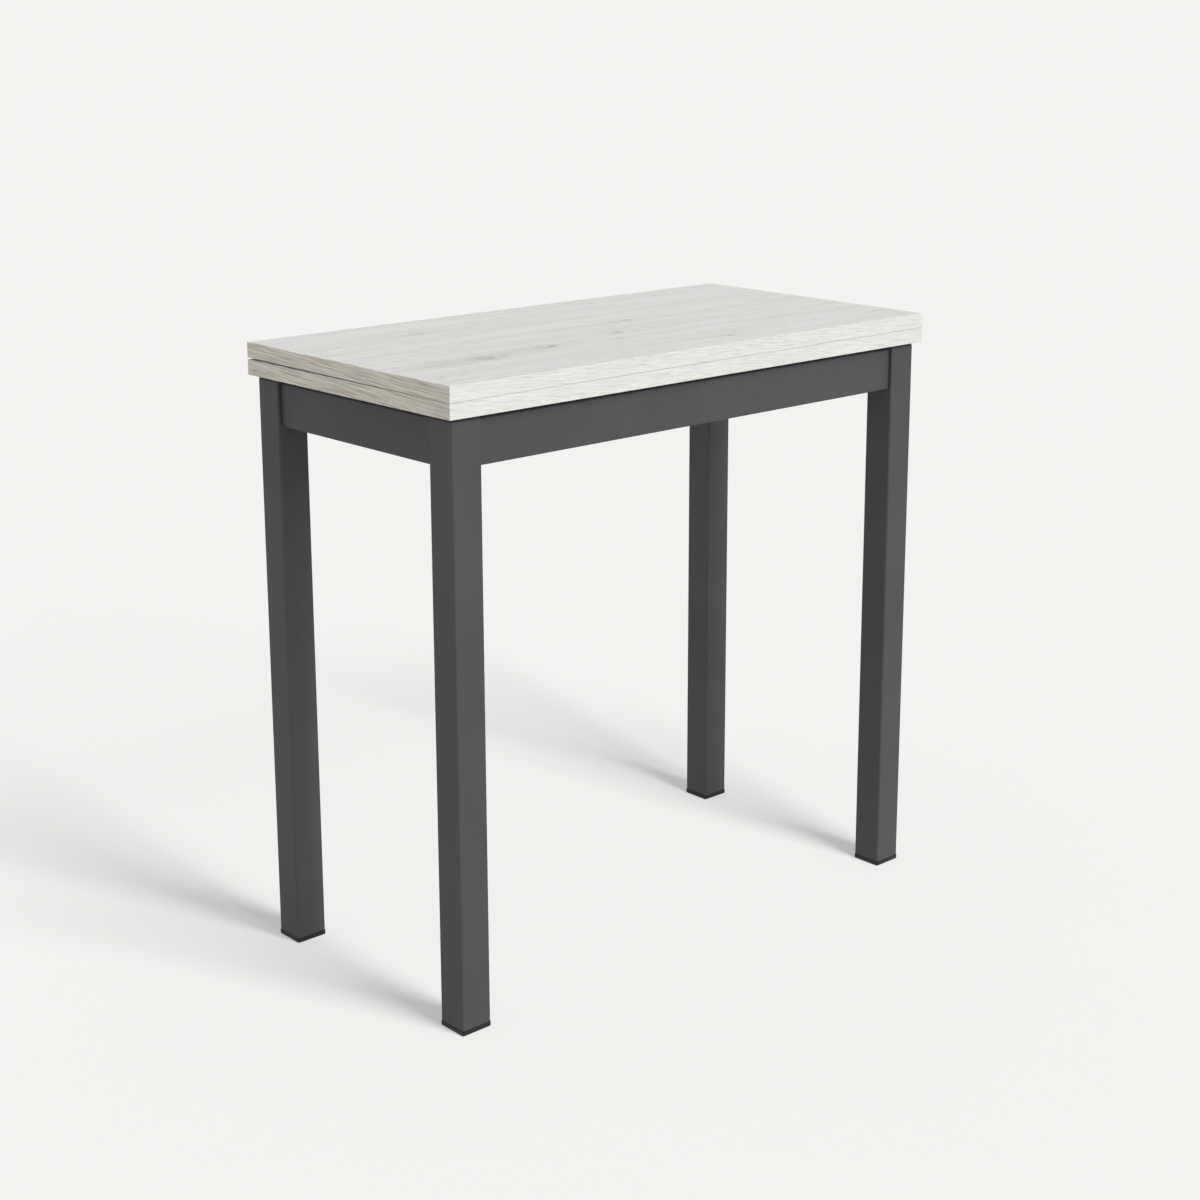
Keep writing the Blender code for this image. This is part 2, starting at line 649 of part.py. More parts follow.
def hinge_pin_mesh():
    half = HINGE_WIDTH / 2 - SEAT
    full = circle(HINGE_PIN_RADIUS, SMALL_ROUND_STEPS)
    small = circle(HINGE_PIN_RADIUS - HINGE_PIN_CHAMFER, SMALL_ROUND_STEPS)
    shoulder = half - HINGE_PIN_CHAMFER
    rings = ((small, -half), (full, -shoulder), (full, shoulder), (small, half))
    return smooth_rounds(along_x(loft(rings, "hinge_pin")))


def build_hinges(lower_leaf, links, upper_leaf):
    plate, link, pin = hinge_plate_mesh(), hinge_link_mesh(), hinge_pin_mesh()
    over = (0, math.pi, 0)
    for name, side in SIDES:
        x = side * (TOP_WIDTH / 2 - HINGE_FROM_END)
        low, high = (x, PIN_Y, LOWER_PIN_Z), (x, PIN_Y, UPPER_PIN_Z)
        place(f"hinge_plate_lower_{name}", plate, "zinc_steel", low, parent=lower_leaf)
        place(f"hinge_plate_upper_{name}", plate, "zinc_steel", high, over, upper_leaf)
        place(f"hinge_link_{name}", link, "zinc_steel", low, parent=links)
        place(f"hinge_pin_lower_{name}", pin, "zinc_steel", low, parent=links)
        place(f"hinge_pin_upper_{name}", pin, "zinc_steel", high, parent=links)


def hinge_notches(from_edge):
    """Cutters for the hinge knuckles, with z = 0 at mid-thickness and the back edge at y = from_edge."""
    half = HINGE_WIDTH / 2 + SEAT
    room = HINGE_EYE_RADIUS + SWING
    low_y, low_z = from_edge - HINGE_PIN_DEPTH - room, LEAF_THICKNESS / 2 - HINGE_PIN_DEPTH - room
    notches = []
    for _, side in SIDES:
        x = side * (TOP_WIDTH / 2 - HINGE_FROM_END)
        low, high = (x - half, low_y, low_z), (x + half, from_edge + room, LEAF_THICKNESS)
        notches.append(block(low, high, "notch"))
    return notches


def board_mesh():
    """A leaf's core, its inner face up, with the hinges' mortises in that face."""
    edge = EDGE_BAND + GLUE_LINE
    half_x, half_y, half_z = TOP_WIDTH / 2 - edge, TOP_DEPTH / 2 - edge, LEAF_THICKNESS / 2
    board = block((-half_x, -half_y, -half_z), (half_x, half_y, half_z), "leaf_board")
    floor = half_z - HINGE_PIN_DEPTH + HINGE_EYE_RADIUS - HINGE_PLATE - SEAT
    mortises = []
    for _, side in SIDES:
        outline = bullet(HINGE_WIDTH / 2 + SEAT, HINGE_LENGTH + SEAT, 0)
        mortise = prism(outline, floor, LEAF_THICKNESS, "mortise")
        mortises.append(moved(mortise, x=side * (TOP_WIDTH / 2 - HINGE_FROM_END), y=PIN_Y))
    return combined(board, hinge_notches(TOP_DEPTH / 2) + mortises)


def band_mesh(length, name):
    """Edge banding along X with its outer face at y = 0, looking to -Y, and its two long edges eased."""
    half, ease = LEAF_THICKNESS / 2, EDGE_BAND_ROUND
    profile = [(EDGE_BAND, -half)]
    profile += arc((ease, ease - half), ease, -math.pi / 2, -math.pi, CORNER_STEPS)
    profile += arc((ease, half - ease), ease, math.pi, math.pi / 2, CORNER_STEPS)
    profile += [(EDGE_BAND, half)]
    return across(profile, length / 2, name)


def build_leaf(name, middle, parent, upside_down):
    """One leaf: its board and four edge bands. The long bands cover the ends of the short ones."""
    end_length = TOP_DEPTH - 2 * (EDGE_BAND + GLUE_LINE)
    board, front = board_mesh(), band_mesh(TOP_WIDTH, "front_band")
    end = band_mesh(end_length, "end_band")
    back = combined(band_mesh(TOP_WIDTH, "back_band"), hinge_notches(0))
    board_turn = (0, math.pi, 0) if upside_down else (0, 0, 0)
    back_turn = (math.pi, 0, 0) if upside_down else (0, 0, math.pi)
    x, y = TOP_WIDTH / 2, TOP_DEPTH / 2
    pieces = (
        ("board", board, "oak_melamine", (0, 0, middle), board_turn),
        ("band_front", front, "oak_edge_band", (0, -y, middle), (0, 0, 0)),
        ("band_back", back, "oak_edge_band", (0, y, middle), back_turn),
        ("band_left", end, "oak_edge_band", (-x, 0, middle), (0, 0, -math.pi / 2)),
        ("band_right", end, "oak_edge_band", (x, 0, middle), (0, 0, math.pi / 2)),
    )
    for piece, mesh, material, location, turn in pieces:
        place(f"{name}_{piece}", mesh, material, location, turn, parent)


def main():
    clear_scene()
    lower_leaf = joint_empty("lower_leaf_slide", (0, 0, LOWER_LEAF_BOTTOM))
    links = joint_empty("lower_pin_axis", (0, PIN_Y, LOWER_PIN_Z))
    upper_leaf = joint_empty("upper_pin_axis", (0, PIN_Y, UPPER_PIN_Z), UPPER_LEAF_TILT)
    build_legs()
    build_rails()
    build_corner_joints()
    build_slide(lower_leaf)
    build_leaf("lower_leaf", LOWER_LEAF_TOP - LEAF_THICKNESS / 2, lower_leaf, False)
    build_leaf("upper_leaf", UPPER_LEAF_BOTTOM + LEAF_THICKNESS / 2, upper_leaf, True)
    build_hinges(lower_leaf, links, upper_leaf)


main()
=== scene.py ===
"""Looks of a book-type extending table: printed oak leaves on a powder-coated steel frame.

The file is laid out as an add-on and run as a script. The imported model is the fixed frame: its pieces
get their finishes here, and the screws and glue lines, which the model leaves out, are added to it.
"""

import json
import math
from collections import namedtuple

import bmesh
import bpy
from bpy.props import FloatProperty, FloatVectorProperty, PointerProperty
from mathutils import Euler, Matrix, Vector


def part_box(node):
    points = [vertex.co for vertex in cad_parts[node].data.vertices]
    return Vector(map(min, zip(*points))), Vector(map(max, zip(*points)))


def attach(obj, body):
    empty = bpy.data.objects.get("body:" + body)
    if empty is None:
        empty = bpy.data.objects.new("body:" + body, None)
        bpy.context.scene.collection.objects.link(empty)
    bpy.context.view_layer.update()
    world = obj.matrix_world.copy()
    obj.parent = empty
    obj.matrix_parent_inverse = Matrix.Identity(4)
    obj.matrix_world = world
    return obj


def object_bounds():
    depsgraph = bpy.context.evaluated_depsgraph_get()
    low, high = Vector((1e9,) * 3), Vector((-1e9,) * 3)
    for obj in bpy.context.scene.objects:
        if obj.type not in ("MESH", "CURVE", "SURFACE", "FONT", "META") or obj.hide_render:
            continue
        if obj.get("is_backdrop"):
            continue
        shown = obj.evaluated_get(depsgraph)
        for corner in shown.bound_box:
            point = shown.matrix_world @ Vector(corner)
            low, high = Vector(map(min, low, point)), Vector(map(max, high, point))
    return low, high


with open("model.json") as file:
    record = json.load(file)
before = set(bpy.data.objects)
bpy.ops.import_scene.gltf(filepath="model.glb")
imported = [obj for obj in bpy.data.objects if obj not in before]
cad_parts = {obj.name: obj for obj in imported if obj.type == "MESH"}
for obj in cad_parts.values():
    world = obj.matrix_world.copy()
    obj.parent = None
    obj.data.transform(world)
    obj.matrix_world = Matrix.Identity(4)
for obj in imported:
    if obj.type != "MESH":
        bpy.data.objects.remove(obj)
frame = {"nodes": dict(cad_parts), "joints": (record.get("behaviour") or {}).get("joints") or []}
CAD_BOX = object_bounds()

bl_info = {
    "name": "Extending Table Looks",
    "version": (1, 0, 0),
    "blender": (4, 5, 0),
    "location": "3D View > Sidebar > Table",
    "description": "Finishes, screws and studio of a book-type extending table",
    "category": "Object",
}

CORNERS = ("front_left", "front_right", "back_right", "back_left")
SIDES = ("left", "right")
LEAVES = ("lower_leaf", "upper_leaf")

# Printed grain: length and width of a mark in metres, detail and roughness of its noise, the noise's
# value where it starts and where it is full, and the least and most of its colour that is laid on
Mark = namedtuple("Mark", "length width detail roughness start full least most",
                  defaults=(0.5, 0.0, 1.0, 0.0, 1.0))
FACE_DRIFT = Mark(0.6, 0.16, 2.0)
FACE_RINGS = Mark(0.40, 0.020, 4.0, 0.6, 0.40, 0.72, 0.0, 0.35)
FACE_STREAKS = Mark(0.320, 0.0056, 3.0, 0.6, 0.42, 0.68, 0.0, 0.60)
FACE_STROKES = Mark(0.150, 0.0021, 2.0, 0.6, 0.44, 0.66, 0.0, 0.80)
FACE_PORES = Mark(0.030, 0.0008, 2.0, 0.5, 0.57, 0.66)
FACE_DASHES = Mark(0.040, 0.0026, 2.0, 0.5, 0.68, 0.73)
FACE_FLECKS = Mark(0.018, 0.0028, 3.0, 0.7, 0.42, 0.60, 0.15, 1.0)
BAND_DRIFT = Mark(0.12, 0.03, 1.0)
BAND_TONE = Mark(0.12, 0.006, 2.0, 0.5, 0.34, 0.66, 0.0, 0.15)
BAND_PORES = Mark(0.024, 0.0008, 2.0, 0.5, 0.56, 0.65)
BAND_DASHES = Mark(0.040, 0.0016, 2.0, 0.5, 0.58, 0.66)
# Its length and width are in widths of a line, which the settings give
BAND_LINES = Mark(65, 1, 2.0, 0.6, 0.47, 0.62)

# Pores are fuller where the rings or lines under them are: start, full, least and most
PORES_ON_RINGS = (0.40, 0.62, 0.3, 1.0)
PORES_ON_LINES = (0.40, 0.60, 0.35, 1.0)

# How far the grain wanders: in ring widths on a face, in metres on a band
FACE_WANDER = 1.6
BAND_WANDER = 0.004
# Slope of the grain along a band
LONG_SLANT = 0.09
END_SLANT = -0.05
# Steps of noise per metre of depth, so that no two faces and no two bands carry the same print
FACE_LEVELS = 300.0
BAND_LEVELS = 23.0

FACE_PORE_SHARE = 0.70
BAND_PORE_SHARE = 0.50
FACE_ROUGHNESS = (0.64, 0.78)
BAND_ROUGHNESS = (0.55, 0.70)
FACE_SPECULAR = 0.20
BAND_SPECULAR = 0.25
FACE_PORE_DEPTH = 0.00008
BAND_PORE_DEPTH = 0.00006

# Knots in the printed oak of each leaf: middle on plan and half-width across the grain
KNOTS = {
    "upper_leaf": (
        (-0.252, -0.086, 0.0170),
        (-0.150, -0.070, 0.0120),
        (-0.010, -0.046, 0.0055),
        (0.065, 0.020, 0.0065),
        (0.350, 0.042, 0.0045),
        (-0.205, 0.108, 0.0045),
        (0.079, -0.157, 0.0050),
    ),
    "lower_leaf": (
        (0.190, -0.060, 0.0140),
        (0.085, 0.095, 0.0100),
        (-0.265, 0.030, 0.0050),
    ),
}
# Length of a knot in widths, its push on the grain, the reach of its stained tail and how it fades out
KNOT_STRETCH = 1.5
KNOT_PUSH = 0.8
KNOT_TAIL = 3.4
KNOT_FALL = 0.35
HEART_EDGE = (0.25, 0.70)
HEART_SHARE = 0.80
TAIL_SHARE = 0.55

# Noise of the other finishes: scale, detail and, where it isn't the usual one, roughness
CHIP_FLAKES = (420.0, 3.0, 0.65)
GLUE_CLOTS = (700.0, 2.0)
COAT_CLOUD = (7.0, 3.0)
ZINC_CLOUD = (55.0, 3.0)
# Texture of the coat and the mouldings: detail and roughness
FINE_TEXTURE = (2.0, 0.6)
# Streaks from the rolling of the steel: scale on each axis, and detail
ROLLED_STEEL = (2600.0, 90.0, 2600.0)
ROLLED_DETAIL = 2.0
# The part of a noise's values that is spread over a whole blend
CHIP_SPREAD = (0.38, 0.62)
CLOUD_SPREAD = (0.35, 0.65)
TEXTURE_SPREAD = (0.3, 0.7)

CHIP_PALE = 1.35
GLUE_ROUGHNESS = 0.5
COAT_CONTRAST = 0.06
COAT_ROUGHNESS = (0.50, 0.60)
COAT_SPECULAR = 0.28
COAT_BUMP = 0.00006
PLASTIC_CONTRAST = 0.1
PLASTIC_SHINE = 0.05
PLASTIC_SPECULAR = 0.3
PLASTIC_BUMP = 0.00004
ZINC_STRAW = (1.04, 1.0, 0.90)
ZINC_BLUE = (0.93, 0.98, 1.04)
ZINC_ROUGHNESS = (0.32, 0.46)
ZINC_BUMP = 0.000008

# Moulded pieces: roughness, and width of the texture in metres
CAP_PLASTIC = (0.48, 0.0006)
STOP_RUBBER = (0.80, 0.0008)
RUNNER_NYLON = (0.42, 0.0010)

# Screw holes of the model, from the pieces that have them
HINGE_SCREW_PITCH = 0.017
HINGE_SCREW_NEAR = 0.014
BRACE_STEEL = 0.0025
BRACE_FLANGE = 0.030
RUNNER_SCREW_EDGE = 0.0048
RUNNER_SCREW_END = 0.010
TRACK_STEEL = 0.0015
TRACK_TAB = 0.026
TRACK_SCREW_PITCH = 0.014

# Screws
SHANK_RADIUS = 0.0018
PAN_HEAD_HEIGHT = 0.0023
PAN_HEAD_RIM = 0.0009
PAN_HEAD_CROWN = 0.6
COUNTERSINK = 0.0017
COUNTERSINK_BELOW = 0.00008
RECESS_ARM = 0.0021
RECESS_WIDTH = 0.00095
RECESS_DEPTH = 0.0014
RECESS_TAPER = 0.45
SCREW_STEPS = 32
DOME_STEPS = 6
SCREW_TURN = 0.9
SHARP_EDGE = math.radians(35)

# Glue lines: how far they stay inside their joints, and clear of the hinges
GLUE_SHY = 0.00003
HINGE_NOTCH_MARGIN = 0.0004

FLOOR_SIZE = 60.0
FLOOR_BELOW = 0.0001
STRIP_LAMPS = 4
# Power of a point lamp that, without falloff, gives white paper facing it a brightness of 1
LAMP_POWER = 4 * math.pi ** 2


class OakSettings(bpy.types.PropertyGroup):
    """Printed oak of the leaves and their edge bands."""

    face: FloatVectorProperty(
        name="Face", description="Pale ground of the printed oak", subtype="COLOR",
        min=0, max=1, default=(0.722, 0.722, 0.709))
    streak: FloatVectorProperty(
        name="Streak", description="Grey streaks that follow the growth rings", subtype="COLOR",
        min=0, max=1, default=(0.605, 0.603, 0.590))
    pore: FloatVectorProperty(
        name="Pore", description="Short dark pores along the grain", subtype="COLOR",
        min=0, max=1, default=(0.42, 0.40, 0.37))
    knot: FloatVectorProperty(
        name="Knot", description="Heart of the knots", subtype="COLOR",
        min=0, max=1, default=(0.43, 0.41, 0.37))
    # All four edge bands are one edge band on the real table. The left and right ones get a warmer
    # ground, deeper grain and darker dashes than the front and back ones: painted shade and warm side
    # light on the ends, laid over the printed grain.
    long_band: FloatVectorProperty(
        name="Long band", description="Ground of the front and back edge bands", subtype="COLOR",
        min=0, max=1, default=(0.766, 0.776, 0.745))
    long_shade: FloatVectorProperty(
        name="Long band grain", description="Grain lines of the front and back edge bands",
        subtype="COLOR", min=0, max=1, default=(0.655, 0.656, 0.610))
    # Warmer than the long bands' ground: painted warm side light on the ends, over the band's own
    # colour.
    end_band_and_side_light: FloatVectorProperty(
        name="End band", description="Ground of the left and right edge bands", subtype="COLOR",
        min=0, max=1, default=(0.818, 0.784, 0.686))
    # Deeper than the long bands' grain lines: painted shade from the side light on the ends, over the
    # printed grain.
    end_grain_and_side_light: FloatVectorProperty(
        name="End band grain", description="Grain lines of the left and right edge bands",
        subtype="COLOR", min=0, max=1, default=(0.535, 0.480, 0.418))
    chip: FloatVectorProperty(
        name="Chipboard", description="Raw core inside the hinge mortises", subtype="COLOR",
        min=0, max=1, default=(0.50, 0.37, 0.23))
    ring_width: FloatProperty(
        name="Ring width", description="Width of a growth ring on a face", unit="LENGTH",
        min=0.001, max=0.1, default=FACE_RINGS.width)
    long_line: FloatProperty(
        name="Long band line", description="Width of a grain line on the front and back bands",
        unit="LENGTH", min=0.0003, max=0.1, default=0.0005)
    end_line: FloatProperty(
        name="End band line", description="Width of a grain line on the left and right bands",
        unit="LENGTH", min=0.0003, max=0.1, default=0.0011)
    long_dash: FloatProperty(
        name="Long band dashes", description="How dark the dashes of the front and back bands are",
        subtype="FACTOR", min=0, max=1, default=0.12)
    # Darker than the long bands' dashes, for the same painted side light on the ends.
    end_dash_and_side_light: FloatProperty(
        name="End band dashes", description="How dark the dashes of the left and right bands are",
        subtype="FACTOR", min=0, max=1, default=0.55)
    pore_length: FloatProperty(
        name="Pore length", description="Length of a pore along the grain", unit="LENGTH",
        min=0.001, max=0.1, default=FACE_PORES.length)


class SteelSettings(bpy.types.PropertyGroup):
    """Powder coat of the legs and rails."""

    coat: FloatVectorProperty(
        name="Coat", description="Colour of the powder coat", subtype="COLOR",
        min=0, max=1, default=(0.0676, 0.0638, 0.0706))
    grain: FloatProperty(
        name="Grain", description="Width of the fine bumps in the coat", unit="LENGTH",
        min=0.0001, max=0.01, default=0.0011)


class FittingSettings(bpy.types.PropertyGroup):
    """Plated steel, plastics and screws."""

    zinc: FloatVectorProperty(
        name="Zinc", description="Plating of the braces, bolts, tracks and hinges", subtype="COLOR",
        min=0, max=1, default=(0.50, 0.51, 0.52))
    plastic: FloatVectorProperty(
        name="Plastic", description="Foot caps and glide caps", subtype="COLOR",
        min=0, max=1, default=(0.011, 0.011, 0.011))
    rubber: FloatVectorProperty(
        name="Rubber", description="End stops in the tracks", subtype="COLOR",
        min=0, max=1, default=(0.025, 0.025, 0.025))
    nylon: FloatVectorProperty(
        name="Nylon", description="Runners in the tracks", subtype="COLOR",
        min=0, max=1, default=(0.74, 0.73, 0.68))
    pan_head: FloatProperty(
        name="Pan head", description="Diameter of the pan-head screws", unit="LENGTH",
        min=0.004, max=0.0082, default=0.0072)
    countersunk_head: FloatProperty(
        name="Countersunk head", description="Diameter of the hinge screws' heads", unit="LENGTH",
        min=0.004, max=0.0082, default=0.0078)


class StageSettings(bpy.types.PropertyGroup):
    """Floor, light and camera."""

    floor: FloatVectorProperty(
        name="Floor", description="Colour of the floor and the backdrop", subtype="COLOR",
        min=0, max=1, default=(0.905, 0.896, 0.880))
    bounce: FloatVectorProperty(
        name="Bounce", description="What the floor throws back onto the table", subtype="COLOR",
        min=0, max=1, default=(0.45, 0.446, 0.438))
    shadow: FloatProperty(
        name="Shadow", description="How deep the shadows on the floor are", subtype="FACTOR",
        min=0, max=1, default=0.55)
    floor_lamp: FloatProperty(
        name="Floor lamp", description="Strength of the lamp that throws the legs' shadows",
        min=0, max=20, default=3.0)
    floor_lamp_place: FloatVectorProperty(
        name="Floor lamp place", description="Where the floor lamp stands", subtype="TRANSLATION",
        unit="LENGTH", default=(0.20, -3.40, 3.90))
    floor_lamp_radius: FloatProperty(
        name="Floor lamp radius", description="Radius of the floor lamp", unit="LENGTH",
        min=0, max=5, default=0.85)
    strip: FloatProperty(
        name="Strip light", description="Strength of the tall strip light in front",
        min=0, max=10, default=1.95)
    strip_turn: FloatProperty(
        name="Strip turn", description="How far the strip light stands to the right of the front",
        subtype="ANGLE", min=-math.pi, max=math.pi, default=math.radians(4))
    strip_low: FloatProperty(
        name="Strip low end", description="Height angle of the strip light's lower end",
        subtype="ANGLE", min=0, max=math.pi / 2, default=math.radians(14))
    strip_high: FloatProperty(
        name="Strip high end", description="Height angle of the strip light's upper end",
        subtype="ANGLE", min=0, max=math.pi / 2, default=math.radians(44))
    strip_width: FloatProperty(
        name="Strip width", description="Angle across the strip light", subtype="ANGLE",
        min=0, max=math.pi, default=math.radians(14))
    ambient: FloatProperty(
        name="Ambient", description="Even light from all round", min=0, max=2, default=0.72)
    camera: FloatVectorProperty(
        name="Camera", description="Place of the camera", subtype="TRANSLATION", unit="LENGTH",
        default=(-1.777, -1.970, 1.183))
    aim: FloatVectorProperty(
        name="Aim", description="Rotation of the camera", subtype="EULER", unit="ROTATION",
        default=(math.radians(76.834), math.radians(0.159), math.radians(-42.088)))
    lens: FloatProperty(
        name="Lens", description="Focal length in millimetres on a 36 mm frame", min=10, max=300,
        default=62.81)
    shift: FloatProperty(
        name="Shift", description="Vertical lens shift as a share of the frame", min=-1, max=1,
        default=-0.09)


class Finish:
    """A node material in the making: each method adds nodes and gives back their output."""

    def __init__(self, name):
        self.material = bpy.data.materials.new(name)
        self.material.use_nodes = True
        self.tree = self.material.node_tree
        self.shader = self.tree.nodes["Principled BSDF"]

    def join(self, value, socket):
        if isinstance(value, bpy.types.NodeSocket):
            self.tree.links.new(value, socket)
        else:
            socket.default_value = value

    def add(self, kind, inputs, **choices):
        node = self.tree.nodes.new(kind)
        for name, value in choices.items():
            setattr(node, name, value)
        for key, value in inputs.items():
            self.join(value, node.inputs[key])
        return node

    def place(self):
        """Coordinates in the table's frame, in metres."""
        return self.add("ShaderNodeTexCoord", {}).outputs["Object"]

    def split(self, vector):
        return self.add("ShaderNodeSeparateXYZ", {0: vector}).outputs

    def vector(self, x, y, z):
        return self.add("ShaderNodeCombineXYZ", {0: x, 1: y, 2: z}).outputs[0]

    def maths(self, operation, first, second=0.0):
        return self.add("ShaderNodeMath", {0: first, 1: second}, operation=operation).outputs[0]

    def noise(self, vector, scale, detail, roughness=0.5):
        inputs = {"Vector": vector, "Scale": scale, "Detail": detail, "Roughness": roughness}
        return self.add("ShaderNodeTexNoise", inputs).outputs["Fac"]

    def rise(self, value, low, high, least=0.0, most=1.0):
        """A soft step: least up to low, most from high on."""
        inputs = {"Value": value, "From Min": low, "From Max": high, "To Min": least, "To Max": most}
        return self.add("ShaderNodeMapRange", inputs, interpolation_type="SMOOTHSTEP").outputs["Result"]

    def blend(self, share, first, second):
        """A colour between two, given as three numbers or as outputs."""
        colours = []
        for colour in (first, second):
            plain = not isinstance(colour, bpy.types.NodeSocket)
            colours.append((*colour, 1.0) if plain else colour)
        inputs = {0: share, 6: colours[0], 7: colours[1]}
        return self.add("ShaderNodeMix", inputs, data_type="RGBA").outputs[2]

    def surface(self, colour, roughness, **values):
        """Feed the shader's colour and roughness, and set its other sockets."""
        self.join(colour, self.shader.inputs["Base Color"])
        self.join(roughness, self.shader.inputs["Roughness"])
        for name, value in values.items():
            self.shader.inputs[name.replace("_", " ")].default_value = value

    def bumps(self, height, depth):
        """Raise the surface by up to depth, in metres, where height is 1."""
        inputs = {"Height": height, "Distance": depth, "Strength": 1.0}
        self.join(self.add("ShaderNodeBump", inputs).outputs[0], self.shader.inputs["Normal"])


def dress(names, material):
    """Give pieces of the model a finish through their material slots."""
    for name in names:
        for slot in frame["nodes"][name].material_slots:
            slot.material = material


def joint(name):
    return next(item for item in frame["joints"] if item["name"] == name)


def leaf_pin(leaf):
    """The hinge axis that a leaf turns on."""
    return Vector(joint("link_fold" if leaf == "lower_leaf" else "leaf_fold")["pos_m"])


def leaf_tilt(leaf):
    """How far a leaf leans forward when the table is folded: the upper one rests on its front edge."""
    if leaf == "lower_leaf":
        return 0.0
    return math.radians(joint("leaf_fold")["range_deg"][1] - joint("link_fold")["range_deg"][1])


def tinted(colour, shares):
    return [value * share for value, share in zip(colour, shares)]


def shaded(colour, share):
    """A colour made lighter or darker all over."""
    return tinted(colour, (share, share, share))


def squared(finish, first, second):
    """The sum of two squares."""
    squares = [finish.maths("MULTIPLY", value, value) for value in (first, second)]
    return finish.maths("ADD", *squares)


def knot_field(finish, along, across, knots):
    """How far the knots push the grain aside, their hearts, and the stained tails along the grain."""
    push, hearts, tails = 0.0, 0.0, 0.0
    for x, y, size in knots:
        run = finish.maths("DIVIDE", finish.maths("SUBTRACT", along, x), KNOT_STRETCH * size)
        side = finish.maths("SUBTRACT", across, y)
        step = finish.maths("DIVIDE", side, size)
        near = finish.maths("POWER", KNOT_FALL, squared(finish, run, step))
        push = finish.maths("ADD", push, finish.maths("MULTIPLY", side, near))
        hearts = finish.maths("MAXIMUM", hearts, near)
        behind = finish.maths("DIVIDE", finish.maths("ADD", run, KNOT_TAIL / 2), KNOT_TAIL)
        tail = finish.maths("POWER", KNOT_FALL, squared(finish, behind, step))
        tails = finish.maths("MAXIMUM", tails, tail)
    return push, hearts, tails


def grain(finish, spot, mark):
    """The noise of a mark, drawn out along the grain."""
    along, lane, level = spot
    run = finish.maths("DIVIDE", along, mark.length)
    step = finish.maths("DIVIDE", lane, mark.width)
    return finish.noise(finish.vector(run, step, level), 1.0, mark.detail, mark.roughness)


def printed(finish, noise, mark):
    """How much of a mark's colour is laid on."""
    return finish.rise(noise, mark.start, mark.full, mark.least, mark.most)


def oak_face(leaf, oak):
    """Printed oak on both faces of a leaf, and raw chipboard wherever the board is cut into."""
    finish = Finish(f"{leaf}_oak")
    place = finish.place()
    x, y, _ = finish.split(place)
    low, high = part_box("lower_leaf_board")
    half = (high.z - low.z) / 2
    to_leaf = {"Vector": place, "Location": leaf_pin(leaf), "Rotation": (leaf_tilt(leaf), 0, 0)}
    in_leaf = finish.add("ShaderNodeMapping", to_leaf, vector_type="TEXTURE").outputs[0]
    depth = finish.split(in_leaf)[2]
    below_pin = high.z - leaf_pin("lower_leaf").z
    core = below_pin - half if leaf == "lower_leaf" else half - below_pin
    from_core = finish.maths("ABSOLUTE", finish.maths("SUBTRACT", depth, core))
    bare = finish.maths("LESS_THAN", from_core, half - GLUE_SHY)
    level = finish.maths("MULTIPLY", depth, FACE_LEVELS)

    push, hearts, tails = knot_field(finish, x, y, KNOTS[leaf])
    drift = grain(finish, (x, y, level), FACE_DRIFT)
    lane = finish.maths("ADD", y, finish.maths("MULTIPLY", drift, FACE_WANDER * oak.ring_width))
    lane = finish.maths("SUBTRACT", lane, finish.maths("MULTIPLY", push, KNOT_PUSH))
    spot = (x, lane, level)
    rings = grain(finish, spot, FACE_RINGS._replace(width=oak.ring_width))
    colour = finish.blend(printed(finish, rings, FACE_RINGS), oak.face, oak.streak)
    for mark in (FACE_STREAKS, FACE_STROKES):
        streaks = printed(finish, grain(finish, spot, mark), mark)
        colour = finish.blend(streaks, colour, oak.streak)
    pores = grain(finish, spot, FACE_PORES._replace(length=oak.pore_length))
    pores = printed(finish, pores, FACE_PORES)
    pores = finish.maths("MULTIPLY", pores, finish.rise(rings, *PORES_ON_RINGS))
    dashes = printed(finish, grain(finish, spot, FACE_DASHES), FACE_DASHES)
    for holes in (pores, dashes):
        colour = finish.blend(finish.maths("MULTIPLY", holes, FACE_PORE_SHARE), colour, oak.pore)
    flecks = printed(finish, grain(finish, spot, FACE_FLECKS), FACE_FLECKS)
    hearts = finish.rise(hearts, *HEART_EDGE)
    for stain, share in ((tails, TAIL_SHARE), (hearts, HEART_SHARE)):
        stain = finish.maths("MULTIPLY", stain, finish.maths("MULTIPLY", flecks, share))
        colour = finish.blend(stain, colour, oak.knot)

    flakes = finish.rise(finish.noise(place, *CHIP_FLAKES), *CHIP_SPREAD)
    raw = finish.blend(flakes, oak.chip, shaded(oak.chip, CHIP_PALE))
    grooves = finish.maths("MAXIMUM", pores, dashes)
    roughness = finish.rise(grooves, 0.0, 1.0, *FACE_ROUGHNESS)
    finish.surface(finish.blend(bare, colour, raw), roughness, Specular_IOR_Level=FACE_SPECULAR)
    finish.bumps(finish.maths("SUBTRACT", 1.0, grooves), FACE_PORE_DEPTH)
    return finish.material


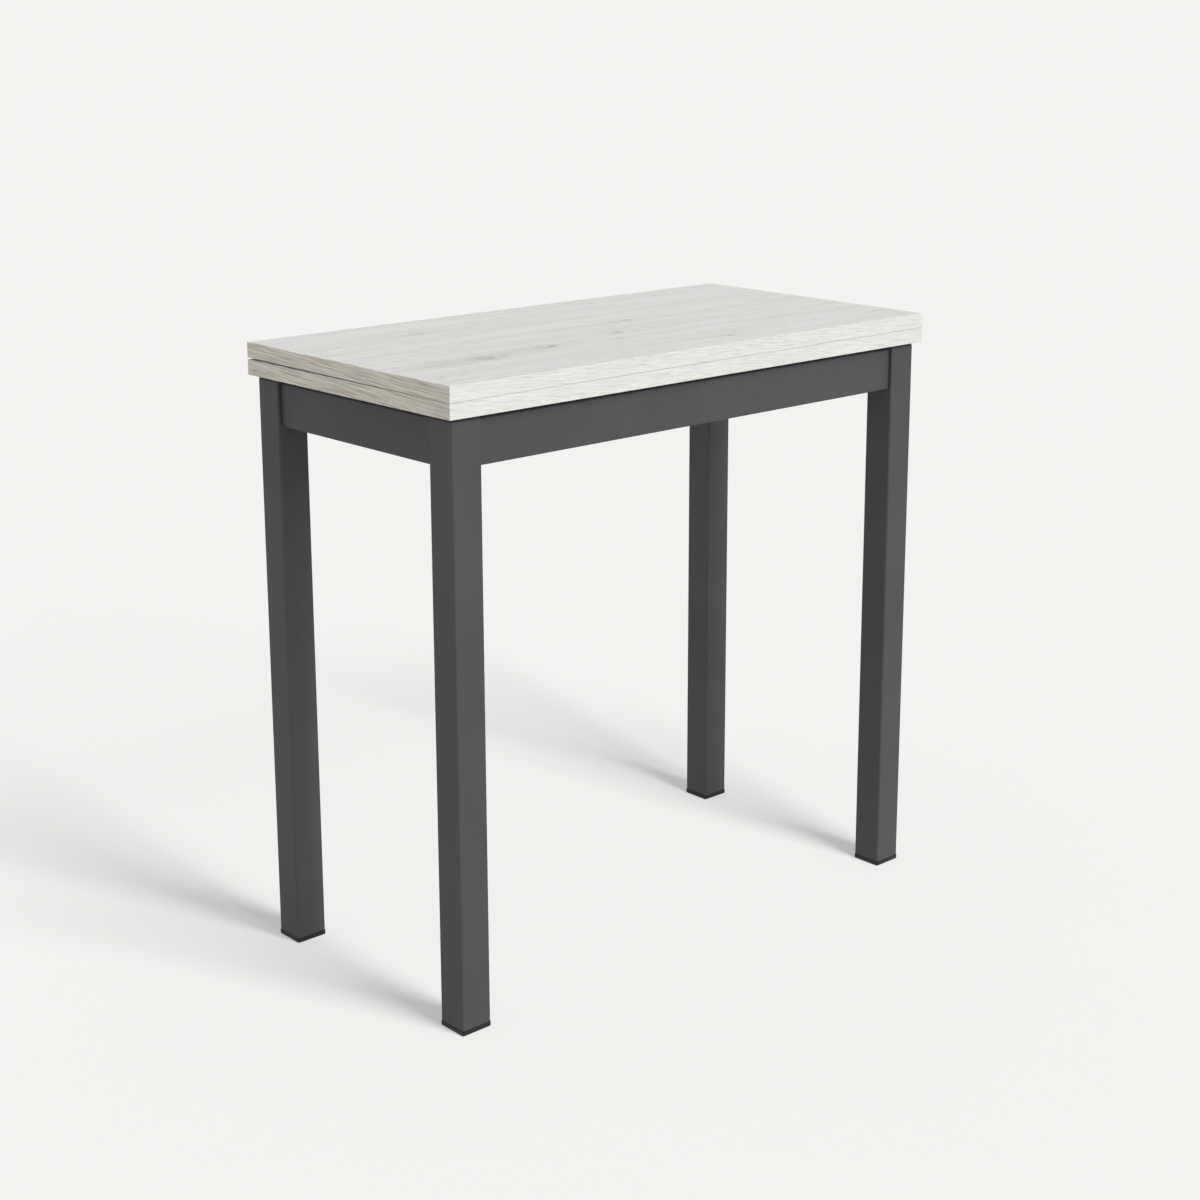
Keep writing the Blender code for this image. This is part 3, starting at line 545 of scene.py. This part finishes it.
def oak_band(name, along_axis, ground, shade, line, dash, oak):
    """Printed oak edge band, its straight grain crossing the band on a slight slant."""
    finish = Finish(name)
    x, y, z = finish.split(finish.place())
    along, across = (x, y) if along_axis == "X" else (y, x)
    level = finish.maths("MULTIPLY", across, BAND_LEVELS)
    slant = finish.maths("MULTIPLY", along, LONG_SLANT if along_axis == "X" else END_SLANT)
    drift = finish.maths("MULTIPLY", grain(finish, (along, z, level), BAND_DRIFT), BAND_WANDER)
    lane = finish.maths("ADD", finish.maths("ADD", z, slant), drift)
    spot = (along, lane, level)
    tone = grain(finish, spot, BAND_TONE)
    colour = finish.blend(printed(finish, tone, BAND_TONE), ground, shade)
    line_mark = BAND_LINES._replace(length=BAND_LINES.length * line, width=BAND_LINES.width * line)
    lines = grain(finish, spot, line_mark)
    colour = finish.blend(printed(finish, lines, BAND_LINES), colour, shade)
    pores = printed(finish, grain(finish, spot, BAND_PORES), BAND_PORES)
    pores = finish.maths("MULTIPLY", pores, finish.rise(lines, *PORES_ON_LINES))
    dashes = printed(finish, grain(finish, spot, BAND_DASHES), BAND_DASHES)
    for holes, share in ((pores, BAND_PORE_SHARE), (dashes, dash)):
        colour = finish.blend(finish.maths("MULTIPLY", holes, share), colour, oak.pore)
    roughness = finish.rise(pores, 0.0, 1.0, *BAND_ROUGHNESS)
    finish.surface(colour, roughness, Specular_IOR_Level=BAND_SPECULAR)
    finish.bumps(finish.maths("SUBTRACT", 1.0, pores), BAND_PORE_DEPTH)
    return finish.material


def hot_melt(oak):
    """Pale set glue between a board and its bands."""
    finish = Finish("hot_melt_glue")
    clots = finish.rise(finish.noise(finish.place(), *GLUE_CLOTS), *CLOUD_SPREAD)
    finish.surface(finish.blend(clots, oak.end_band_and_side_light, oak.face), GLUE_ROUGHNESS)
    return finish.material


def powder_coat(steel):
    """Fine-grained powder coat with a faint cloud in its tone."""
    finish = Finish("anthracite_powder_coat")
    place = finish.place()
    texture = finish.noise(place, 1 / steel.grain, *FINE_TEXTURE)
    cloud = finish.rise(finish.noise(place, *COAT_CLOUD), *CLOUD_SPREAD)
    dark, light = (shaded(steel.coat, 1 + side * COAT_CONTRAST) for side in (-1, 1))
    roughness = finish.rise(texture, *TEXTURE_SPREAD, *COAT_ROUGHNESS)
    finish.surface(finish.blend(cloud, dark, light), roughness, Specular_IOR_Level=COAT_SPECULAR)
    finish.bumps(texture, COAT_BUMP)
    return finish.material


def moulded_plastic(name, colour, roughness, width):
    """Matt moulded plastic or rubber with a fine spark-eroded texture."""
    finish = Finish(name)
    texture = finish.noise(finish.place(), 1 / width, *FINE_TEXTURE)
    dark, light = (shaded(colour, 1 + side * PLASTIC_CONTRAST) for side in (-1, 1))
    tone = finish.blend(finish.rise(texture, *TEXTURE_SPREAD), dark, light)
    shine = finish.rise(texture, *TEXTURE_SPREAD, roughness - PLASTIC_SHINE, roughness + PLASTIC_SHINE)
    finish.surface(tone, shine, Specular_IOR_Level=PLASTIC_SPECULAR)
    finish.bumps(texture, PLASTIC_BUMP)
    return finish.material


def plated_steel(fittings):
    """Bright zinc plating: rolled streaks, with a faint blue and straw cloud from passivation."""
    finish = Finish("zinc_plate")
    place = finish.place()
    cloud = finish.rise(finish.noise(place, *ZINC_CLOUD), *CLOUD_SPREAD)
    rolled = [finish.maths("MULTIPLY", *pair) for pair in zip(finish.split(place), ROLLED_STEEL)]
    streak = finish.noise(finish.vector(*rolled), 1.0, ROLLED_DETAIL)
    straw, blue = (tinted(fittings.zinc, shares) for shares in (ZINC_STRAW, ZINC_BLUE))
    roughness = finish.rise(streak, *TEXTURE_SPREAD, *ZINC_ROUGHNESS)
    finish.surface(finish.blend(cloud, straw, blue), roughness, Metallic=1.0)
    finish.bumps(streak, ZINC_BUMP)
    return finish.material


def zinc(context):
    """The plating, made when it is first asked for."""
    return bpy.data.materials.get("zinc_plate") or plated_steel(context.scene.table_fittings)


def mesh_from(bm, name):
    bmesh.ops.recalc_face_normals(bm, faces=bm.faces[:])
    mesh = bpy.data.meshes.new(name)
    bm.to_mesh(mesh)
    bm.free()
    return mesh


def turned(profile, name):
    """A closed solid turned about Z from radii and heights, which start and end on the axis."""
    bm = bmesh.new()
    rings = []
    turns = [2 * math.pi * step / SCREW_STEPS for step in range(SCREW_STEPS)]
    for radius, height in profile:
        if radius == 0:
            rings.append([bm.verts.new((0, 0, height))] * SCREW_STEPS)
            continue
        points = [(radius * math.cos(turn), radius * math.sin(turn), height) for turn in turns]
        rings.append([bm.verts.new(point) for point in points])
    for low, high in zip(rings, rings[1:]):
        for step in range(SCREW_STEPS):
            after = (step + 1) % SCREW_STEPS
            corners = (low[step], low[after], high[after], high[step])
            bm.faces.new(dict.fromkeys(corners))
    return mesh_from(bm, name)


def cross_recess(top):
    """A cutter for a cross drive: a plus that narrows with depth."""
    bm = bmesh.new()
    loops = []
    turns = [Matrix.Rotation(quarter * math.pi / 2, 2) for quarter in range(4)]
    floor, mouth = (top - RECESS_DEPTH, RECESS_TAPER), (top + RECESS_DEPTH, 2 - RECESS_TAPER)
    for height, share in (floor, mouth):
        arm, half = RECESS_ARM * share, RECESS_WIDTH / 2 * share
        side = (Vector((arm, -half)), Vector((arm, half)), Vector((half, half)))
        points = [turn @ point for turn in turns for point in side]
        loops.append([bm.verts.new((*point, height)) for point in points])
    for step in range(len(loops[0])):
        bm.faces.new((loops[0][step - 1], loops[0][step], loops[1][step], loops[1][step - 1]))
    for loop in loops:
        bm.faces.new(loop)
    return mesh_from(bm, "cross_recess")


def cut(base, tool):
    """The base mesh less the tool."""
    pieces = [bpy.data.objects.new(mesh.name, mesh) for mesh in (base, tool)]
    for piece in pieces:
        bpy.context.collection.objects.link(piece)
    modifier = pieces[0].modifiers.new("recess", "BOOLEAN")
    modifier.solver = "EXACT"
    modifier.object = pieces[1]
    graph = bpy.context.evaluated_depsgraph_get()
    mesh = bpy.data.meshes.new_from_object(pieces[0].evaluated_get(graph))
    for piece in pieces:
        bpy.data.objects.remove(piece)
    mesh.shade_smooth()
    mesh.set_sharp_from_angle(angle=SHARP_EDGE)
    return mesh


def pan_head_screw(head, shank):
    """A pan-head screw with its seat at z = 0 and its head upwards."""
    radius = head / 2
    profile = [(0, -shank), (SHANK_RADIUS, -shank), (SHANK_RADIUS, 0), (radius, 0)]
    for step in range(DOME_STEPS):
        angle = math.pi / 2 * step / DOME_STEPS
        rise = (PAN_HEAD_HEIGHT - PAN_HEAD_RIM) * math.sin(angle)
        profile.append((radius * math.cos(angle) ** PAN_HEAD_CROWN, PAN_HEAD_RIM + rise))
    profile.append((0, PAN_HEAD_HEIGHT))
    return cut(turned(profile, "pan_head_screw"), cross_recess(PAN_HEAD_HEIGHT))


def countersunk_screw(head, shank):
    """A countersunk screw with its flat head a hair below z = 0."""
    top = -COUNTERSINK_BELOW
    neck = top - COUNTERSINK
    profile = [(0, -shank), (SHANK_RADIUS, -shank), (SHANK_RADIUS, neck), (head / 2, top), (0, top)]
    return cut(turned(profile, "countersunk_screw"), cross_recess(top))


def facing(point, outward):
    """Where a screw sits with its head looking outward."""
    turn = Vector((0, 0, 1)).rotation_difference(Vector(outward))
    return Matrix.Translation(point) @ turn.to_matrix().to_4x4()


def new_piece(name, mesh, material, body):
    piece = bpy.data.objects.new(name, mesh)
    bpy.context.collection.objects.link(piece)
    mesh.materials.append(material)
    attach(piece, body)


def screw_set(name, screw, places, material, body):
    """Copies of a screw as one piece, each turned a little further than the last."""
    bm = bmesh.new()
    for index, place in enumerate(places):
        start = len(bm.verts)
        bm.from_mesh(screw)
        bm.verts.ensure_lookup_table()
        turn = place @ Matrix.Rotation(index * SCREW_TURN, 4, "Z")
        bmesh.ops.transform(bm, matrix=turn, verts=bm.verts[start:])
    mesh = bpy.data.meshes.new(name)
    bm.to_mesh(mesh)
    bm.free()
    new_piece(name, mesh, material, body)


def add_box(bm, low, high):
    size = Vector(high) - Vector(low)
    matrix = Matrix.Translation((Vector(low) + Vector(high)) / 2) @ Matrix.Diagonal((*size, 1))
    bmesh.ops.create_cube(bm, size=1.0, matrix=matrix)


class TABLE_OT_leaves(bpy.types.Operator):
    """Print oak on the two leaves and bare their chipboard in the hinge mortises"""

    bl_idname = "table.leaves"
    bl_label = "Leaves"

    def execute(self, context):
        oak = context.scene.table_oak
        for leaf in LEAVES:
            dress([f"{leaf}_board"], oak_face(leaf, oak))
        return {"FINISHED"}


class TABLE_OT_edge_bands(bpy.types.Operator):
    """Print oak on the edge bands and fill the glue lines behind them"""

    bl_idname = "table.edge_bands"
    bl_label = "Edge bands"

    def execute(self, context):
        oak = context.scene.table_oak
        long_band = oak_band("long_edge_band", "X", oak.long_band, oak.long_shade,
                             oak.long_line, oak.long_dash, oak)
        # The end bands' own colours paint the warmer, dimmer side light on the ends, over the same
        # printed oak.
        end_band_and_side_light = oak_band("end_edge_band_and_side_light", "Y", oak.end_band_and_side_light, oak.end_grain_and_side_light,
                            oak.end_line, oak.end_dash_and_side_light, oak)
        glue = hot_melt(oak)
        for leaf in LEAVES:
            dress([f"{leaf}_band_front", f"{leaf}_band_back"], long_band)
            dress([f"{leaf}_band_left", f"{leaf}_band_right"], end_band_and_side_light)
            new_piece(f"{leaf}_glue_lines", self.glue_mesh(leaf), glue, leaf)
        return {"FINISHED"}

    def glue_mesh(self, leaf):
        """Thin strips between a leaf's board and its bands, broken at the hinges."""
        low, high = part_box("lower_leaf_board")
        outer_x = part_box("lower_leaf_band_right")[0].x
        outer_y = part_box("lower_leaf_band_back")[0].y
        bottom, top = low.z + GLUE_SHY, high.z - GLUE_SHY
        bm = bmesh.new()
        for side in (-1, 1):
            ends = sorted((side * (high.x + GLUE_SHY), side * (outer_x - GLUE_SHY)))
            add_box(bm, (ends[0], low.y, bottom), (ends[1], high.y, top))
        breaks = [-outer_x]
        for side in SIDES:
            notch_low, notch_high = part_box(f"hinge_plate_lower_{side}")
            breaks += [notch_low.x - HINGE_NOTCH_MARGIN, notch_high.x + HINGE_NOTCH_MARGIN]
        breaks.append(outer_x)
        near, far = high.y + GLUE_SHY, outer_y - GLUE_SHY
        add_box(bm, (-outer_x, -far, bottom), (outer_x, -near, top))
        for start, end in zip(breaks[::2], breaks[1::2]):
            add_box(bm, (start, near, bottom), (end, far, top))
        if leaf == "upper_leaf":
            lift = leaf_pin("upper_leaf").z + leaf_pin("lower_leaf").z
            over = Matrix.Translation((0, 0, lift)) @ Matrix.Diagonal((1, 1, -1, 1))
            pin = Matrix.Translation(leaf_pin(leaf))
            tilt = Matrix.Rotation(leaf_tilt(leaf), 4, "X")
            bmesh.ops.transform(bm, matrix=pin @ tilt @ pin.inverted() @ over, verts=bm.verts[:])
        return mesh_from(bm, f"{leaf}_glue_lines")


class TABLE_OT_frame(bpy.types.Operator):
    """Powder-coat the legs and rails"""

    bl_idname = "table.frame"
    bl_label = "Legs and rails"

    def execute(self, context):
        coat = powder_coat(context.scene.table_steel)
        dress([f"leg_{corner}" for corner in CORNERS], coat)
        dress([f"rail_{side}" for side in ("front", "back", "left", "right")], coat)
        return {"FINISHED"}


class TABLE_OT_caps(bpy.types.Operator):
    """Give the foot caps and glide caps their moulded plastic"""

    bl_idname = "table.caps"
    bl_label = "Foot and glide caps"

    def execute(self, context):
        colour = context.scene.table_fittings.plastic
        plastic = moulded_plastic("black_cap_plastic", colour, *CAP_PLASTIC)
        for corner in CORNERS:
            dress([f"foot_cap_{corner}", f"glide_cap_{corner}"], plastic)
        return {"FINISHED"}


class TABLE_OT_corner_joints(bpy.types.Operator):
    """Plate the corner braces, bolts and nut blocks and screw the braces to the rails"""

    bl_idname = "table.corner_joints"
    bl_label = "Corner joints"

    def execute(self, context):
        plating = zinc(context)
        screw = pan_head_screw(context.scene.table_fittings.pan_head, BRACE_STEEL)
        for corner in CORNERS:
            for piece in ("corner_brace", "corner_bolt", "nut_block"):
                dress([f"{piece}_{corner}"], plating)
            screw_set(f"brace_screws_{corner}", screw, self.places(corner), plating, "frame")
        return {"FINISHED"}

    def places(self, corner):
        """Two screws in each flange, their heads towards the table's middle."""
        low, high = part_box(f"corner_brace_{corner}")
        centre = (low + high) / 2
        inward = Vector([-math.copysign(1, value) for value in centre[:2]])
        outer = Vector([low[i] if inward[i] > 0 else high[i] for i in range(2)])
        far = Vector([high[i] if inward[i] > 0 else low[i] for i in range(2)])
        for rail in (0, 1):
            face = 1 - rail
            point = Vector((0.0, 0.0, 0.0))
            point[rail] = far[rail] - inward[rail] * BRACE_FLANGE / 2
            point[face] = outer[face] + inward[face] * BRACE_STEEL
            outward = Vector((0.0, 0.0, 0.0))
            outward[face] = inward[face]
            for step in (-1, 1):
                point.z = centre.z + step * (high.z - low.z) / 4
                yield facing(point, outward)


class TABLE_OT_slide(bpy.types.Operator):
    """Finish the tracks, stops, runners and runner plates and put in their screws"""

    bl_idname = "table.slide"
    bl_label = "Slide"

    def execute(self, context):
        fittings = context.scene.table_fittings
        plating = zinc(context)
        rubber = moulded_plastic("black_stop_rubber", fittings.rubber, *STOP_RUBBER)
        nylon = moulded_plastic("white_runner_nylon", fittings.nylon, *RUNNER_NYLON)
        tab_screw = pan_head_screw(fittings.pan_head, TRACK_STEEL)
        low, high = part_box("runner_plate_left")
        plate_screw = pan_head_screw(fittings.pan_head, high.z - low.z)
        for side in SIDES:
            dress([f"guide_track_{side}", f"runner_plate_{side}"], plating)
            dress([f"track_stop_front_{side}", f"track_stop_back_{side}"], rubber)
            dress([f"runner_{side}"], nylon)
            places = self.tab_places(side)
            screw_set(f"track_screws_{side}", tab_screw, places, plating, "frame")
            places = self.plate_places(side)
            screw_set(f"runner_screws_{side}", plate_screw, places, plating, "lower_leaf")
        return {"FINISHED"}

    def tab_places(self, side):
        low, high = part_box(f"guide_track_{side}")
        height = low.z + TRACK_TAB / 2
        for end, face in ((-1, low.y + TRACK_STEEL), (1, high.y - TRACK_STEEL)):
            for step in (-1, 1):
                x = (low.x + high.x) / 2 + step * TRACK_SCREW_PITCH / 2
                yield facing((x, face, height), (0, -end, 0))

    def plate_places(self, side):
        low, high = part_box(f"runner_plate_{side}")
        for x in (low.x + RUNNER_SCREW_EDGE, high.x - RUNNER_SCREW_EDGE):
            for y in (low.y + RUNNER_SCREW_END, high.y - RUNNER_SCREW_END):
                yield facing((x, y, low.z), (0, 0, -1))


class TABLE_OT_hinges(bpy.types.Operator):
    """Plate the double-pivot hinges and put in their countersunk screws"""

    bl_idname = "table.hinges"
    bl_label = "Hinges"

    def execute(self, context):
        plating = zinc(context)
        low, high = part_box("hinge_plate_lower_left")
        head = context.scene.table_fittings.countersunk_head
        screw = countersunk_screw(head, (high.z - low.z) / 2)
        for side in SIDES:
            dress([f"hinge_link_{side}"], plating)
            for leaf in LEAVES:
                level = leaf.split("_")[0]
                dress([f"hinge_plate_{level}_{side}", f"hinge_pin_{level}_{side}"], plating)
                name = f"hinge_screws_{level}_{side}"
                screw_set(name, screw, self.places(leaf, side), plating, leaf)
        return {"FINISHED"}

    def places(self, leaf, side):
        """Three screws in a plate, their heads in the leaf's inner face."""
        low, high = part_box(f"hinge_plate_lower_{side}")
        x = (low.x + high.x) / 2
        pin = leaf_pin(leaf)
        eye = high.z - leaf_pin("lower_leaf").z
        up = 1 if leaf == "lower_leaf" else -1
        inner_end = low.y + (high.x - low.x) / 2
        spots = [(step * HINGE_SCREW_PITCH / 2, pin.y - HINGE_SCREW_NEAR) for step in (-1, 1)]
        spots.append((0, inner_end))
        to_pin = Matrix.Translation(pin)
        tilt = to_pin @ Matrix.Rotation(leaf_tilt(leaf), 4, "X") @ to_pin.inverted()
        for offset, y in spots:
            yield tilt @ facing((x + offset, y, pin.z + up * eye), (0, 0, up))


class TABLE_OT_stage(bpy.types.Operator):
    """Set up the pale floor, the soft light and the camera"""

    bl_idname = "table.stage"
    bl_label = "Stage"

    def execute(self, context):
        stage = context.scene.table_stage
        context.scene.view_settings.view_transform = "Standard"
        floor = self.add_floor(context, stage)
        self.add_floor_lamp(context, stage, floor)
        self.add_world(context, stage)
        self.add_strip_light(context, stage)
        self.add_camera(context, stage)
        return {"FINISHED"}

    def strip_heights(self, stage):
        """Height angles of the lamps that make up the strip light."""
        step = (stage.strip_high - stage.strip_low) / (STRIP_LAMPS - 1)
        return [stage.strip_low + step * lamp for lamp in range(STRIP_LAMPS)]

    def seen(self, tree):
        """1 for what the camera, a mirror or a clear material sees, 0 for light between surfaces."""
        ray = tree.nodes.new("ShaderNodeLightPath")
        seen = ray.outputs["Is Camera Ray"]
        for name in ("Is Glossy Ray", "Is Transmission Ray"):
            either = tree.nodes.new("ShaderNodeMath")
            either.operation = "MAXIMUM"
            tree.links.new(seen, either.inputs[0])
            tree.links.new(ray.outputs[name], either.inputs[1])
            seen = either.outputs[0]
        return seen

    def add_floor(self, context, stage):
        """A floor as bright as the backdrop wherever the light is open, so that no horizon shows."""
        half = FLOOR_SIZE / 2
        mesh = bpy.data.meshes.new("floor")
        corners = [(-half, -half), (half, -half), (half, half), (-half, half)]
        mesh.from_pydata([(x, y, -FLOOR_BELOW) for x, y in corners], [], [(0, 1, 2, 3)])
        floor = bpy.data.objects.new("floor", mesh)
        context.collection.objects.link(floor)
        floor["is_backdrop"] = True
        heights = self.strip_heights(stage)
        even = stage.ambient + stage.strip * sum(map(math.sin, heights)) / len(heights) / math.pi
        paper = Finish("floor_paper")
        reach = paper.add("ShaderNodeVectorMath", {0: paper.place(), 1: stage.floor_lamp_place},
                          operation="DISTANCE").outputs["Value"]
        lamp = paper.maths("DIVIDE", stage.floor_lamp * stage.floor_lamp_place[2], reach)
        share = paper.maths("DIVIDE", 1.0, paper.maths("ADD", lamp, even))
        pale = paper.blend(share, (0, 0, 0), stage.floor)
        dull = paper.blend(share, (0, 0, 0), [even * value for value in stage.bounce])
        lit = paper.add("ShaderNodeBsdfDiffuse", {"Color": pale}).outputs[0]
        glow = paper.add("ShaderNodeEmission", {"Color": (*stage.floor, 1.0)}).outputs[0]
        shown = paper.add("ShaderNodeMixShader", {0: stage.shadow, 1: glow, 2: lit}).outputs[0]
        bounce = paper.add("ShaderNodeBsdfDiffuse", {"Color": dull}).outputs[0]
        sides = {0: self.seen(paper.tree), 1: bounce, 2: shown}
        surface = paper.add("ShaderNodeMixShader", sides).outputs[0]
        paper.join(surface, paper.tree.nodes["Material Output"].inputs["Surface"])
        paper.tree.nodes.remove(paper.shader)
        mesh.materials.append(paper.material)
        return floor

    def add_floor_lamp(self, context, stage, floor):
        """A lamp that lights nothing but the floor and throws the legs' shadows on it."""
        light = bpy.data.lights.new("floor_lamp", "POINT")
        light.energy = LAMP_POWER * stage.floor_lamp
        light.shadow_soft_size = stage.floor_lamp_radius
        light.use_nodes = True
        nodes = light.node_tree.nodes
        falloff = nodes.new("ShaderNodeLightFalloff")
        falloff.inputs["Strength"].default_value = 1.0
        light.node_tree.links.new(falloff.outputs["Constant"], nodes["Emission"].inputs["Strength"])
        holder = bpy.data.objects.new(light.name, light)
        holder.location = stage.floor_lamp_place
        context.collection.objects.link(holder)
        names = [f"{piece}_{corner}" for piece in ("leg", "foot_cap") for corner in CORNERS]
        legs = [frame["nodes"][name] for name in names]
        linked = {"receiver_collection": [floor], "blocker_collection": legs}
        for role, pieces in linked.items():
            group = bpy.data.collections.new(f"floor_lamp_{role}")
            for piece in pieces:
                group.objects.link(piece)
            setattr(holder.light_linking, role, group)

    def add_world(self, context, stage):
        """Even light for the surfaces, and the backdrop's colour for the camera and reflections."""
        world = bpy.data.worlds.new("studio")
        context.scene.world = world
        world.use_nodes = True
        tree = world.node_tree
        light = tree.nodes["Background"]
        light.inputs["Color"].default_value = (1.0, 1.0, 1.0, 1.0)
        light.inputs["Strength"].default_value = stage.ambient
        backdrop = tree.nodes.new("ShaderNodeBackground")
        backdrop.inputs["Color"].default_value = (*stage.floor, 1.0)
        mix = tree.nodes.new("ShaderNodeMixShader")
        tree.links.new(self.seen(tree), mix.inputs[0])
        tree.links.new(light.outputs[0], mix.inputs[1])
        tree.links.new(backdrop.outputs[0], mix.inputs[2])
        tree.links.new(mix.outputs[0], tree.nodes["World Output"].inputs["Surface"])

    def add_strip_light(self, context, stage):
        """A tall strip light as a row of lamps, one above the other."""
        for lamp, height in enumerate(self.strip_heights(stage), 1):
            light = bpy.data.lights.new(f"strip_light_{lamp}", "SUN")
            light.energy = stage.strip / STRIP_LAMPS
            light.angle = stage.strip_width
            holder = bpy.data.objects.new(light.name, light)
            context.collection.objects.link(holder)
            across = Vector((math.sin(stage.strip_turn), -math.cos(stage.strip_turn), 0.0))
            toward = across * math.cos(height) + Vector((0.0, 0.0, math.sin(height)))
            holder.rotation_euler = toward.to_track_quat("Z", "Y").to_euler()

    def add_camera(self, context, stage):
        camera = bpy.data.cameras.new("camera")
        camera.lens = stage.lens
        camera.shift_y = stage.shift
        holder = bpy.data.objects.new("camera", camera)
        context.collection.objects.link(holder)
        holder.location = stage.camera
        holder.rotation_euler = Euler(stage.aim)
        context.scene.camera = holder


SETTINGS = {
    "table_oak": OakSettings,
    "table_steel": SteelSettings,
    "table_fittings": FittingSettings,
    "table_stage": StageSettings,
}
OPERATORS = (
    TABLE_OT_leaves,
    TABLE_OT_edge_bands,
    TABLE_OT_frame,
    TABLE_OT_caps,
    TABLE_OT_corner_joints,
    TABLE_OT_slide,
    TABLE_OT_hinges,
    TABLE_OT_stage,
)


class TABLE_PT_looks(bpy.types.Panel):
    """The table's settings, and a button for each group of pieces"""

    bl_idname = "TABLE_PT_looks"
    bl_label = "Extending Table"
    bl_space_type = "VIEW_3D"
    bl_region_type = "UI"
    bl_category = "Table"

    def draw(self, context):
        for name, group in SETTINGS.items():
            box = self.layout.box()
            settings = getattr(context.scene, name)
            for setting in group.__annotations__:
                box.prop(settings, setting)
        for operator in OPERATORS:
            self.layout.operator(operator.bl_idname)


def register():
    for group in SETTINGS.values():
        bpy.utils.register_class(group)
    for operator in OPERATORS:
        bpy.utils.register_class(operator)
    bpy.utils.register_class(TABLE_PT_looks)
    for name, group in SETTINGS.items():
        setattr(bpy.types.Scene, name, PointerProperty(type=group))


def unregister():
    for name in SETTINGS:
        delattr(bpy.types.Scene, name)
    bpy.utils.unregister_class(TABLE_PT_looks)
    for group in (*OPERATORS, *SETTINGS.values()):
        bpy.utils.unregister_class(group)


def main():
    register()
    bpy.ops.table.leaves()
    bpy.ops.table.edge_bands()
    bpy.ops.table.frame()
    bpy.ops.table.caps()
    bpy.ops.table.corner_joints()
    bpy.ops.table.slide()
    bpy.ops.table.hinges()
    bpy.ops.table.stage()
    boxes = {"cad": CAD_BOX, "visual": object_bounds()}
    {name: [list(corner) for corner in box] for name, box in boxes.items()}


if __name__ == "__main__":
    main()
